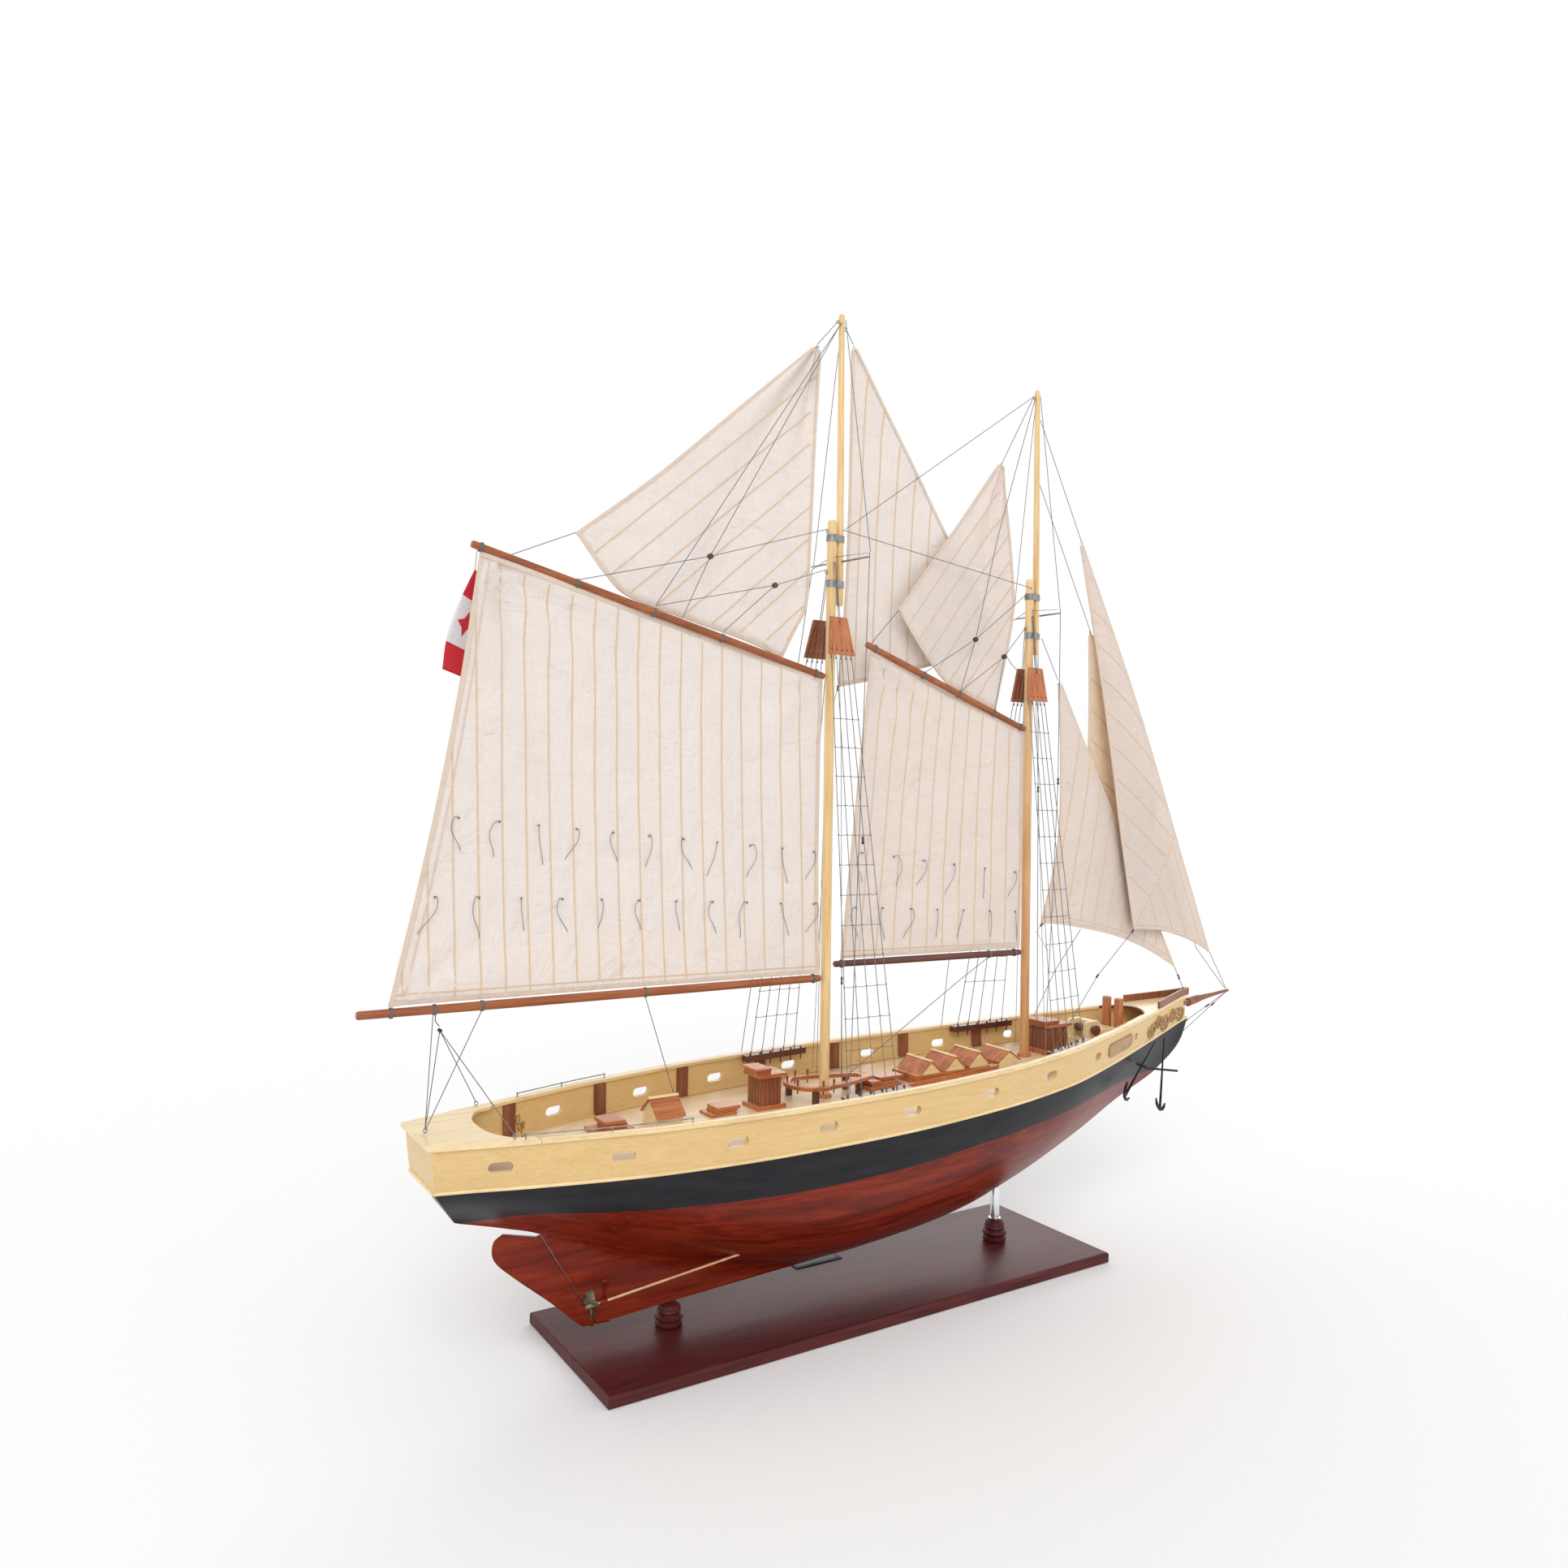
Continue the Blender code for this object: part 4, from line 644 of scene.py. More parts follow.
def bulwarks():
    for side, name in ((1, "port"), (-1, "starboard")):
        shape, outer, inner = Shape(), [], []
        for x in [x for x in STATIONS if x <= 456]:
            levels = steps(wale_z(x) + 0.1, rail_z(x) - 0.1, 4)
            skin_line = [skin(x, level_on_skin(x, z)) for z in levels]
            outer.append([(p[0], side * p[1], p[2]) for p in skin_line])
            inner.append([(p[0], side * max(p[1] - WALL, 0.2), p[2]) for p in reversed(skin_line)])
        shape.loft([a + b for a, b in zip(outer, inner)])
        wall = shape.make(f"bulwark_wall_{name}", SHIP, HONEY, [f"bulwark_{name}"], smooth=30)
        cut_ports(wall, side)

        posts = Shape()
        for x in STANCHIONS:
            y = half_breadth(x) - RAIL_OVERHANG - WALL
            slope = math.atan2((half_breadth(x + 2) - half_breadth(x - 2)) / 4, 1)
            foot = deck_z(x, y) - 1
            outline = [(-5.5, 1.2), (5.5, 1.2), (5.5, -1.8), (-5.5, -1.8)]
            turned = [(x + a * math.cos(slope) - b * math.sin(slope),
                       y + a * math.sin(slope) + b * math.cos(slope)) for a, b in outline]
            rings = []
            for k in range(5):
                z = lerp(foot, rail_z(x) - 0.2, k / 4)
                lean = skin(x, level_on_skin(x, z))[1] - skin(x, level_on_skin(x, rail_z(x)))[1]
                rings.append([(a, side * (b + lean), z) for a, b in turned])
            posts.loft(rings)
        posts.make(f"stanchions_{name}", SHIP, MAHOGANY_Z, bevel=0.25)

    board = Shape()
    rings = []
    for z in steps(wale_z(STERN) + 0.3, rail_z(STERN) - 0.1, 4):
        x, y, _ = skin(STERN, level_on_skin(STERN, z))
        rings.append([(x, -y + WALL, z), (x, y - WALL, z), (x + 4.5, y - WALL, z),
                      (x + 4.5, -y + WALL, z)])
    board.loft(rings)
    board.make("transom_board", SHIP, HONEY, ["transom"])


def rails():
    """Cap rails, the stern board with its hollow edge, and the foredeck board."""
    stations = [x for x in STATIONS if -298 < x < 352] + [352.4]
    for side, name in ((1, "port"), (-1, "starboard")):
        rings = []
        for x in [-299] + stations:
            inner, outer = side * (half_breadth(x) - RAIL_WIDTH), side * half_breadth(x)
            low, high = rail_z(x), rail_z(x) + RAIL_THICKNESS
            crown = [(x, lerp(outer, inner, s), high + 0.25 * math.sin(math.pi * s))
                     for s in (0.1, 0.5, 0.9)]
            rings.append([(x, outer, low + 0.4), (x, outer, high - 0.5)] + crown
                         + [(x, inner, high - 0.5), (x, inner, low + 0.4)])
        Shape().loft(rings).make(f"cap_rail_{name}_top", SHIP, PALE, [f"cap_rail_{name}"], smooth=50)

    edge = [(-299.2, -47.6), (-303, -43.6), (-311, -41.5), (-319, -32), (-324.5, -18)]
    hollow = rounded([(x, y, 0) for x, y in mirrored(edge, [(-326, 0)])])
    edge = [(-371.4, -35.2), (-350, -41.8), (-325, -49), (-299.2, -56.1)]
    outline = [Vector((x, y, 0)) for x, y in mirrored(edge)]
    outline = outline[:len(edge)] + hollow + outline[len(edge):]
    rings = [[(p.x, p.y, rail_z(p.x) + rise) for p in outline] for rise in (0, RAIL_THICKNESS)]
    Shape().loft(rings).make("stern_board", SHIP, PALE, ["stern_platform"], bevel=0.45, smooth=30)

    edge = [(352.7, 28.6), (357, 28), (364, 23), (371, 14.5), (375.5, 5)]
    hollow = rounded([(x, y, 0) for x, y in mirrored(edge, [(376.2, 0)])])
    edge = [353] + [x for x in STATIONS if 354 < x < 462]
    outline = [Vector((x, -half_breadth(x), 0)) for x in edge]
    outline += [Vector((x, half_breadth(x), 0)) for x in reversed(edge)] + hollow
    rings = [[(p.x, p.y, rail_z(p.x) + rise) for p in outline] for rise in (0, RAIL_THICKNESS)]
    Shape().loft(rings).make("foredeck_board", SHIP, PALE, ["foredeck_platform"], bevel=0.4, smooth=30)
    lip = [Vector((p.x - 0.2, p.y, rail_z(p.x) + 1.4)) for p in hollow[2:-2]]
    Shape().tube(lip, 1.5, 8).make("foredeck_lip", SHIP, DARK, smooth=60)


def deck():
    shape, rings = Shape(), []
    for x in [x for x in STATIONS if -366 < x < 437]:
        x_here, y_here, _ = skin(x, level_on_skin(x, wale_z(x) + deck_rise(x)))
        wide = max(y_here - WALL + 0.3, 0.5)
        rings.append([(x_here, wide * s, deck_z(x, wide * s)) for s in steps(-1, 1, 16)])
    shape.loft(rings, caps=False, loop=False)
    made = shape.make("deck_planking", SHIP, DECK, ["deck"], smooth=60)
    thicken(made, 1.5, -1.0)
    edging = Shape()
    for side in (-1, 1):
        line = []
        for x in [x for x in STATIONS if -322 < x < 430]:
            wide = skin(x, level_on_skin(x, wale_z(x) + deck_rise(x)))[1] - WALL
            line.append((x, side * (wide - 0.7), deck_z(x, wide) + 0.5))
        edging.tube(line, 0.8, 6)
    edging.make("waterways", SHIP, INNER, smooth=60)


# ---- stand, rudder, screws ----

def stand():
    base = Shape()
    x, y = 254.0, 76.5
    rings = []
    for z, cut in ((0, 0.6), (0.6, 0), (7.4, 0), (8.6, 0.5), (9.2, 1.4), (9.4, 2.4)):
        rings.append([(a * (x - cut), b * (y - cut), z) for a, b in CORNERS])
    base.loft(rings)
    base.make("base_plank", SHIP, CHERRY, ["base_board"], smooth=40)
    plate = Shape().box((-21, 37.5, 9.45), (29, 60, 10.3))
    plate.make("blank_plaque", SHIP, GUN, bevel=0.3)
    rim = [(-19, 39.5, 10.35), (27, 39.5, 10.35), (27, 58, 10.35), (-19, 58, 10.35)]
    Shape().tube(rim, 0.3, 4, loop=True).make("plaque_rim", SHIP, BRONZE)

    profile = [(9.4, 0.0), (10.6, 0.05), (11.0, 0.12), (10.9, 0.2), (9.4, 0.25), (8.9, 0.28),
               (10.8, 0.33), (11.5, 0.4), (11.3, 0.46), (9.3, 0.52), (8.5, 0.57), (9.6, 0.61),
               (10.0, 0.66), (9.2, 0.71), (8.9, 0.76), (9.1, 0.84), (8.2, 0.92), (6.3, 0.97), (4.6, 1.0)]
    for name, node in (("aft_post_turning", "aft_post"), ("fore_post_turning", "fore_post")):
        low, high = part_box(node)
        height = (high[2] - low[2]) / MM
        middle = ((low[0] + high[0]) / 2 / MM, 0, low[2] / MM - 0.2)
        turned = Shape().turn([(r, h * (height + 0.2)) for r, h in profile], middle, sides=48)
        turned.make(name, SHIP, CHERRY, [node], smooth=50)
    low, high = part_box("fore_post_rod")
    foot = ((low[0] + high[0]) / 2 / MM, 0, low[2] / MM - 0.4)
    length = (high[2] - low[2]) / MM + 1.2
    rod = [(4.3, 0), (4.3, length - 1.2), (3.9, length - 0.4), (3.2, length)]
    collar = [(5.4, 0), (5.9, 0.6), (5.9, 1.6), (4.6, 2.2)]
    Shape().turn(rod, foot, sides=32).turn(collar, foot, sides=32).make(
        "fore_post_steel", SHIP, SILVER, ["fore_post_rod"], smooth=50)


def rudder():
    top, heel = Vector((-279, 0, 99.5)), Vector((-233.2, 0, 24.5))
    edge = [(-305.5, 106.5), (-312.5, 101), (-311.5, 88), (-296, 72.5), (-267, 48), (-249, 31),
            (-241.5, 25)]
    trail = rounded([(x, 0, z) for x, z in edge], 5)
    rings, count = [], len(trail)
    forward = Vector((0.853, 0, 0.521))
    for k, end in enumerate(trail):
        line = top.lerp(heel, (k / (count - 1)) ** 1.1 * 0.985)
        ring = []
        for s, half in ((0.0, 1.5), (0.15, 2.0), (0.5, 1.8), (0.85, 1.3), (1.0, 0.7)):
            ring.append(line.lerp(end, s) + Vector((0, half, 0)))
        rings.append([line + forward * 1.8] + ring + [Vector((p.x, -p.y, p.z)) for p in reversed(ring)])
    blade = Shape().loft(rings)
    blade.make("rudder_board", "rudder_blade", HULL_RED, ["rudder"], bevel=0.25, smooth=45)
    post = Shape().tube([top + forward * 0.2, heel + forward * 0.2], 2.1, 12)
    post.make("rudder_post", "rudder_blade", HULL_RED, smooth=60)
    rings = []
    for x, z in ((-224, 24.8), (-231, 28), (-239.5, 46), (-251, 64), (-262.6, 82), (-270.2, 94),
                 (-276, 104)):
        hinge = lerp(top.x, heel.x, (top.z - z) / (top.z - heel.z))
        rings.append([(hinge + 3.0, -2.1, z), (x + 6, -2.4, z), (x + 6, 2.4, z), (hinge + 3.0, 2.1, z)])
    Shape().loft(rings).make("sternpost", SHIP, HULL_RED, bevel=0.3, smooth=30)


def screws():
    for side, name in ((1, "port"), (-1, "starboard")):
        aft, fore = Vector((-241, side * 26.5, 52.4)), Vector((-121, side * 26.9, 64.9))
        along = (fore - aft).normalized()
        profile = [(1.35, -1.0), (1.35, 6), (1.75, 6.2), (1.75, (fore - aft).length)]
        shaft = Shape().turn(profile, aft, along, 16)
        shaft.make(f"shaft_tube_{name}", SHIP, COPPER, [f"shaft_{name}"], smooth=50)
        strut = Shape().turn([(2.3, 1.5), (2.6, 2.3), (2.6, 6.2), (2.3, 7)], aft, along, 16)
        knuckle, foot = aft + along * 4.5, Vector((-225, side * 3.1, 56))
        strut.tube([knuckle, knuckle.lerp(foot, 0.5) + Vector((0, 0, 0.4)), foot], [1.0, 1.1, 1.4], 8)
        root = Shape().turn([(3.4, -0.8), (3.2, 0.6), (2.2, 1.6), (1.2, 1.9)], foot, (0, side, 0), 20)
        root.make(f"strut_root_{name}", SHIP, HULL_RED, smooth=60)
        strut.make(f"shaft_strut_{name}", SHIP, HULL_RED, smooth=60)

        centre = aft - along * 4.6
        profile = [(0.5, -5.4), (1.5, -4.6), (2.5, -2.6), (2.7, 0), (2.5, 3.6)]
        screw = Shape().turn(profile, centre, along, 20)
        side_way, up = across(along)
        for number in range(3):
            angle = math.radians(120 * number + 90)
            out = math.cos(angle) * side_way + math.sin(angle) * up
            sweep = along.cross(out)
            rings = []
            for reach, chord, pitch in ((1.5, 2.2, 62), (3.5, 3.9, 52), (6, 5.1, 44), (8.5, 5.3, 38),
                                        (10.6, 4.2, 34), (11.9, 2.2, 31), (12.4, 0.6, 30)):
                way = math.cos(math.radians(pitch)) * sweep + math.sin(math.radians(pitch)) * along
                flat = out.cross(way).normalized()
                middle = centre + out * reach
                half = [middle + way * chord * s + flat * 0.42 * math.sqrt(max(1 - s * s, 0.02))
                        for s in steps(-1, 1, 6)]
                back = [middle + way * chord * s - flat * 0.32 * math.sqrt(max(1 - s * s, 0.02))
                        for s in steps(1, -1, 6)]
                rings.append(half + back[1:-1])
            screw.loft(rings)
        body = "port_screw" if side > 0 else "starboard_screw"
        screw.make(f"screw_{name}", body, BRONZE, [f"propeller_{name}"], smooth=40)


# ---- deck fittings ----

def on_deck(x, y=0.0):
    return deck_z(x, y) + 0.3


def slab(shape, ends, sides, low, high):
    """Add a box on the deck: low and high are heights over the deck at the box's middle."""
    (x0, x1), (y0, y1) = ends, sides
    level = on_deck((x0 + x1) / 2)
    feet = [on_deck(x0) - 0.6, on_deck(x1) - 0.6] if low <= 0 else [level + low, level + low]
    outline = [(x0, feet[0]), (x1, feet[1]), (x1, level + high), (x0, level + high)]
    return shape.prism_y(outline, y0, y1)


def pitched(name, node, ends, half, wall, ridge, along_x):
    """Make a pale house with two mahogany roof boards and a pale ridge cap."""
    (x0, x1), eave = ends, 2.2
    level = on_deck((x0 + x1) / 2)
    eaves, top = level + wall, level + ridge
    walls, roof, cap = Shape(), Shape(), Shape()
    if along_x:
        rings = []
        for x in (x0, x1):
            foot = on_deck(x) - 0.6
            rings.append([(x, -half, foot), (x, half, foot), (x, half, eaves), (x, 0, top - 1.4),
                          (x, -half, eaves)])
        walls.loft(rings)
        for side in (-1, 1):
            slope = (top - eaves) / half
            outline = [(0.2, top), (half + eave, top - slope * (half + eave)),
                       (half + eave, top - slope * (half + eave) - 1.7), (0.2, top - 1.7)]
            roof.loft([[(x, side * y, z) for y, z in outline] for x in (x0 - 1.6, x1 + 1.6)])
        outline = [(-1.9, top - 0.7), (0, top + 0.9), (1.9, top - 0.7), (0, top - 1.2)]
        cap.loft([[(x, y, z) for y, z in outline] for x in (x0 - 2, x1 + 2)])
    else:
        middle, run = (x0 + x1) / 2, (x1 - x0) / 2
        outline = [(x0, on_deck(x0) - 0.6), (x1, on_deck(x1) - 0.6), (x1, eaves), (middle, top - 1.4),
                   (x0, eaves)]
        walls.prism_y(outline, -half, half)
        slope = (top - eaves) / run
        for side in (-1, 1):
            outline = [(0.2, top), (run + eave, top - slope * (run + eave)),
                       (run + eave, top - slope * (run + eave) - 1.6), (0.2, top - 1.6)]
            roof.prism_y([(middle + side * a, z) for a, z in outline], -half - 0.8, half + 0.8)
        cap.prism_y([(middle - 1.7, top - 0.6), (middle, top + 0.8), (middle + 1.7, top - 0.6),
                     (middle, top - 1.1)], -half - 1, half + 1)
    walls.make(f"{name}_walls", SHIP, PALE, node, bevel=0.25)
    roof.make(f"{name}_roof", SHIP, MAHOGANY, bevel=0.25)
    cap.make(f"{name}_ridge", SHIP, PALE, bevel=0.15)


def hatches():
    shape = Shape()
    slab(shape, (-238, -206), (-9, 14), 0, 2.6)
    slab(shape, (-229, -211), (-7, 10), 2.6, 6.6)
    slab(shape, (-231, -213), (-8.5, 11.5), 6.4, 9.4)
    shape.make("stern_hatch_boards", SHIP, MAHOGANY, ["stern_hatch"], bevel=0.35)

    shape = Shape()
    slab(shape, (-139, -115), (-10, 10), 0, 1.8)
    slab(shape, (-134, -113), (-8.2, 7.2), 1.8, 3.8)
    slab(shape, (-133, -111), (-9, 8), 3.8, 6.4)
    shape.make("hatch_box_boards", SHIP, MAHOGANY, ["hatch_box"], bevel=0.35)

    shape = Shape()
    slab(shape, (20, 56), (-11, 12), 0, 2.4)
    slab(shape, (24, 52), (-8, 9), 2.4, 5.2)
    slab(shape, (34, 61), (-6, 7), 5.2, 8.2)
    slab(shape, (22, 33), (-9, 8), 5.2, 7.4)
    shape.make("mast_hatch_boards", SHIP, MAHOGANY, ["mast_hatch"], bevel=0.35)
    curved = Shape()
    line = [(x, -19.5 - 2.6 * math.sin((x - 10) / 48 * math.pi), on_deck(x, 20) + 1.6)
            for x in steps(10, 58, 10)]
    curved.tube(line, 1.5, 6).make("side_fender", SHIP, MAHOGANY, smooth=60)


def cabin(name, ends, half, height, lid_ends, lid_rise):
    """Make an upright cabin of vertical boards with a plinth, an overhanging top and a sliding lid."""
    x0, x1 = ends
    body, trim = Shape(), Shape()
    slab(body, (x0 + 0.6, x1 - 0.6), (-half + 0.6, half - 0.6), 0, height)
    boards = 5
    for k in range(boards):
        a, b = (lerp(-half, half, (k + s) / boards) for s in (0.06, 0.94))
        slab(body, (x0, x0 + 1.2), (a, b), 1, height - 0.6)
        slab(body, (x1 - 1.2, x1), (a, b), 1, height - 0.6)
        a, b = (lerp(x0, x1, (k + s) / boards) for s in (0.06, 0.94))
        for side in (-1, 1):
            y0, y1 = sorted((side * half, side * (half - 1.2)))
            slab(body, (a, b), (y0, y1), 1, height - 0.6)
    body.make(f"{name}_boards", SHIP, MAHOGANY_Z, [name], bevel=0.2)
    slab(trim, (x0 - 4, x1 + 4), (-half - 2, half + 2), 0, 3.0)
    slab(trim, (x0 - 3, x1 + 4.5), (-half - 2.4, half + 2.4), height - 0.4, height + 2.6)
    slab(trim, lid_ends, (-half + 0.5, half - 0.5), height + 2.6, height + lid_rise)
    slab(trim, (lid_ends[0] - 1.5, lid_ends[1]), (-half - 1, half + 1), height + lid_rise,
         height + lid_rise + 2)
    trim.make(f"{name}_trim", SHIP, MAHOGANY, bevel=0.3)


def skylights():
    coaming = Shape()
    aft, fore = 66, 162
    slab(coaming, (aft, fore), (-17.4, 17.4), 0, 5.5)
    for y0, y1 in ((-22, -18), (18, 22)):
        low, high = on_deck(aft), on_deck(fore)
        outline = [(aft - 26, low - 1.4), (fore, high - 0.4), (fore, high + 4), (aft - 26, low + 1.8)]
        coaming.prism_y(outline, y0, y1)
    coaming.make("skylight_coaming", SHIP, MAHOGANY, ["skylight_bank"], bevel=0.35)
    outer = Shape()
    line = [(x, -34 + 0.03 * (x - 60), on_deck(x, 32) + 1) for x in steps(36, 150, 12)]
    outer.tube(line, 1.2, 6).make("deck_batten", SHIP, PALE, smooth=60)
    for number, x in enumerate((84, 113, 142)):
        pitched(f"skylight_{number + 1}", [], (x - 11.5, x + 11.5), 16.5, 8.5, 18.5, False)
    pitched("skylight_4", ["skylight_fore"], (168.5, 193.5), 15.5, 5.5, 13.5, False)


def loop_of(reach, aft, fore, tip, count=26):
    """Return a loop, round aft and drawn in forward."""
    turn = [math.radians(a) for a in steps(98, 262, count)]
    loop = [Vector((aft + reach + reach * math.cos(a), reach * math.sin(a), 0)) for a in turn]
    middle = (lerp(aft + reach, fore, 0.5), -lerp(reach, tip, 0.42), 0)
    side = rounded([loop[-1], middle, (fore, -tip, 0)], 6)
    loop += side[1:]
    return loop + [Vector((p.x, -p.y, 0)) for p in reversed(side[1:])]


def fife_rail():
    shape, z = Shape(), 183.0
    outer, inner = loop_of(25, -60, 24, 9), loop_of(18.5, -53.5, 15.5, 4)
    rings = []
    for a, b in zip(outer, inner):
        rings.append([(lerp(a.x, b.x, s), lerp(a.y, b.y, s), z + rise) for s, rise in
                      ((0, 0.4), (0, 3), (0.08, 3.4), (0.92, 3.4), (1, 3), (1, 0.4), (0.9, 0), (0.1, 0))])
    rings.append(rings[0])
    shape.loft(rings, caps=False)
    shape.make("fife_rail_ring", SHIP, MAHOGANY, ["fife_rail"], smooth=50)
    legs, pins = Shape(), Shape()
    for x, y in ((-45, -20.5), (-45, 20.5), (8, -10), (8, 10)):
        foot = on_deck(x, y) - 0.5
        legs.box((x - 2.4, y - 2.2, foot), (x + 2.4, y + 2.2, z + 0.8))
    legs.make("fife_rail_legs", SHIP, DARK_Z, bevel=0.35)
    for x, y in ((-55, 8), (-38, 21.6), (-26, 20), (-10, 15.5)):
        belaying_pin(pins, (x, -y, z))
        belaying_pin(pins, (x, y, z))
    pins.make("fife_rail_pins", SHIP, MAHOGANY_Z, smooth=60)


def belaying_pin(shape, place):
    profile = [(0.5, -3.6), (0.62, -1), (0.62, 3.3), (1.15, 3.5), (0.7, 4.2), (0.95, 5.6), (1.15, 7.2),
               (0.8, 8.4), (0.2, 8.8)]
    shape.turn(profile, place, sides=8)


def pinrails():
    for place, side, aft, fore in (("main_port", 1, -54, 12), ("main_starboard", -1, -60, 6),
                                   ("fore_port", 1, 182, 247), ("fore_starboard", -1, 182, 247)):
        node = f"pinrail_{place}"
        shape, pins, rings = Shape(), Shape(), []
        for x in steps(aft, fore, 12):
            inner, outer = half_breadth(x) - RAIL_WIDTH - 8.4, half_breadth(x) - RAIL_WIDTH - 0.6
            low, high = rail_z(x) - 3.2, rail_z(x) + 2.4
            rings.append([(x, side * inner, low), (x, side * inner, high), (x, side * outer, high),
                          (x, side * outer, low)])
        shape.loft(rings).make(f"{node}_board", SHIP, DARK, [node], bevel=0.4)
        for x in steps(aft + 5, fore - 5, 5):
            belaying_pin(pins, (x, side * (half_breadth(x) - RAIL_WIDTH - 6.6), rail_z(x) - 4.6))
        pins.make(f"{node}_pins", SHIP, DARK_Z, smooth=60)


def windlass():
    bed = Shape()
    slab(bed, (286, 312), (-14, 14), 0, 4)
    slab(bed, (311, 334), (-12, 12), 0, 9.5)
    slab(bed, (333, 352), (-12, 12), 0, 5)
    level = on_deck(298.5)
    for y0, y1 in ((-13, -9), (9, 13)):
        outline = [(288, level + 2), (309, level + 2), (309, level + 19), (306.5, level + 21.5),
                   (290.5, level + 21.5), (288, level + 19)]
        bed.prism_y(outline, y0, y1)
    slab(bed, (300.5, 309), (-9.2, 9.2), 3, 20)
    bed.make("windlass_frame", SHIP, PALE, ["windlass_bed"], bevel=0.4)
    bitts = Shape()
    for y in (-7.8, 7.8):
        bitts.turn([(4.6, 0), (4.6, 33), (4.3, 34.2), (3.4, 34.6)], (342, y, 194.5), sides=28)
    bitts.make("bitts", SHIP, BOARD, smooth=50)

    low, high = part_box("windlass_drum")
    centre = (Vector(low) + Vector(high)) / 2 / MM
    half = (high[1] - low[1]) / 2 / MM
    near_half = [(1.2, -half), (4.6, -half + 0.1), (5.4, -half + 0.7), (5.4, -half + 2.4),
                 (4.9, -half + 3), (3.4, -half + 3.3), (3.4, -6), (4.1, -5.6)]
    far_half = [(r, -s) for r, s in reversed(near_half)]
    drum = Shape().turn(near_half + far_half, centre, (0, 1, 0), 20)
    for k in range(6):
        a = math.radians(60 * k)
        spot = centre + Vector((3.9 * math.cos(a), 0, 3.9 * math.sin(a)))
        for y in (-half - 0.02, half + 0.02):
            drum.turn([(0.5, -0.3), (0.5, 0.3)], (spot.x, spot.y + y, spot.z), (0, 1, 0), 6)
    drum.make("windlass_barrel_turning", "windlass_barrel", DARK, ["windlass_drum"], smooth=40)


def wheel():
    centre = Vector((-295.5, 0, 186))
    rim = [centre + Vector((0, 5.1 * math.cos(a), 5.1 * math.sin(a))) for a in circle(36)]
    made = Shape().tube(rim, 0.62, 8, loop=True)
    made.turn([(1.0, -1.2), (1.5, -0.8), (1.5, 0.8), (1.0, 1.2), (0.75, 1.3), (0.75, 4.2)], centre,
              (1, 0, 0), 14)
    for k in range(8):
        a = math.radians(45 * k + 11)
        way = Vector((0, math.cos(a), math.sin(a)))
        made.turn([(0.45, 0), (0.3, 2.2), (0.42, 4.6), (0.34, 5.6), (0.5, 6.4), (0.2, 7.1)], centre,
                  way, 6)
    made.make("helm_wheel", "wheel", BRASS, ["steering_wheel"], smooth=60)

    stand_top = Shape()
    foot = on_deck(-292, 2)
    stand_top.turn([(3.2, -0.4), (3.2, 0.5), (2.0, 1.2), (1.3, 3), (1.5, 5), (1.1, 6.5)],
                   (-292, 0, foot), sides=14)
    for side in (-1, 1):
        line = rounded([(-292, side * y, z) for y, z in
                        ((0.6, foot + 5), (3.2, foot + 9), (1.2, foot + 13), (2.6, 186))], 5)
        stand_top.tube(line, 0.6, 6)
    stand_top.turn([(1.0, 0), (1.0, 3.6)], (-294, 0, 186), (1, 0, 0), 10)
    stand_top.make("helm_stand", SHIP, BRASS, ["binnacle"], smooth=60)


def bow():
    """Bow rail timbers, bowsprit and the fittings that hold it."""
    shape = Shape()
    for side in (-1, 1):
        rings = []
        for x in steps(386, 460.5, 10):
            y = max(half_breadth(x) - 2.1, 1.6)
            z = rail_z(x) + RAIL_THICKNESS + 0.1
            rings.append([(x, side * (y + across_by), z + rise) for across_by, rise in
                          ((-1.5, 0), (1.5, 0), (1.5, 7), (-1.5, 7))])
        shape.loft(rings)
    shape.make("bow_rail_timbers", SHIP, MAHOGANY_Z, ["bow_rail"], bevel=0.4)
    rings = []
    for x, z, wide, tall in ((462, 214.4, 4.6, 4.6), (474, 216.4, 4.3, 4.5), (486, 217.9, 3.3, 3.2),
                             (505, 219.8, 2.1, 2.1), (520, 221.4, 1.8, 1.8), (531.6, 222.5, 1.6, 1.6)):
        rings.append([(x, wide * math.cos(a), z + tall * math.sin(a)) for a in circle(16, 0.5)])
    Shape().loft(rings).make("bowsprit_spar", SHIP, MAHOGANY_Z, ["bowsprit"], smooth=45)
    foot = Shape()
    foot.loft([[(x, -w, z), (x, w, z), (x, w, z + 4.6), (x, -w, z + 4.6)] for x, z, w in
               ((437, 211.0, 3.0), (450, 212.4, 3.0), (463, 213.0, 3.0))])
    foot.make("bowsprit_heel", SHIP, MAHOGANY_Z, bevel=0.5)


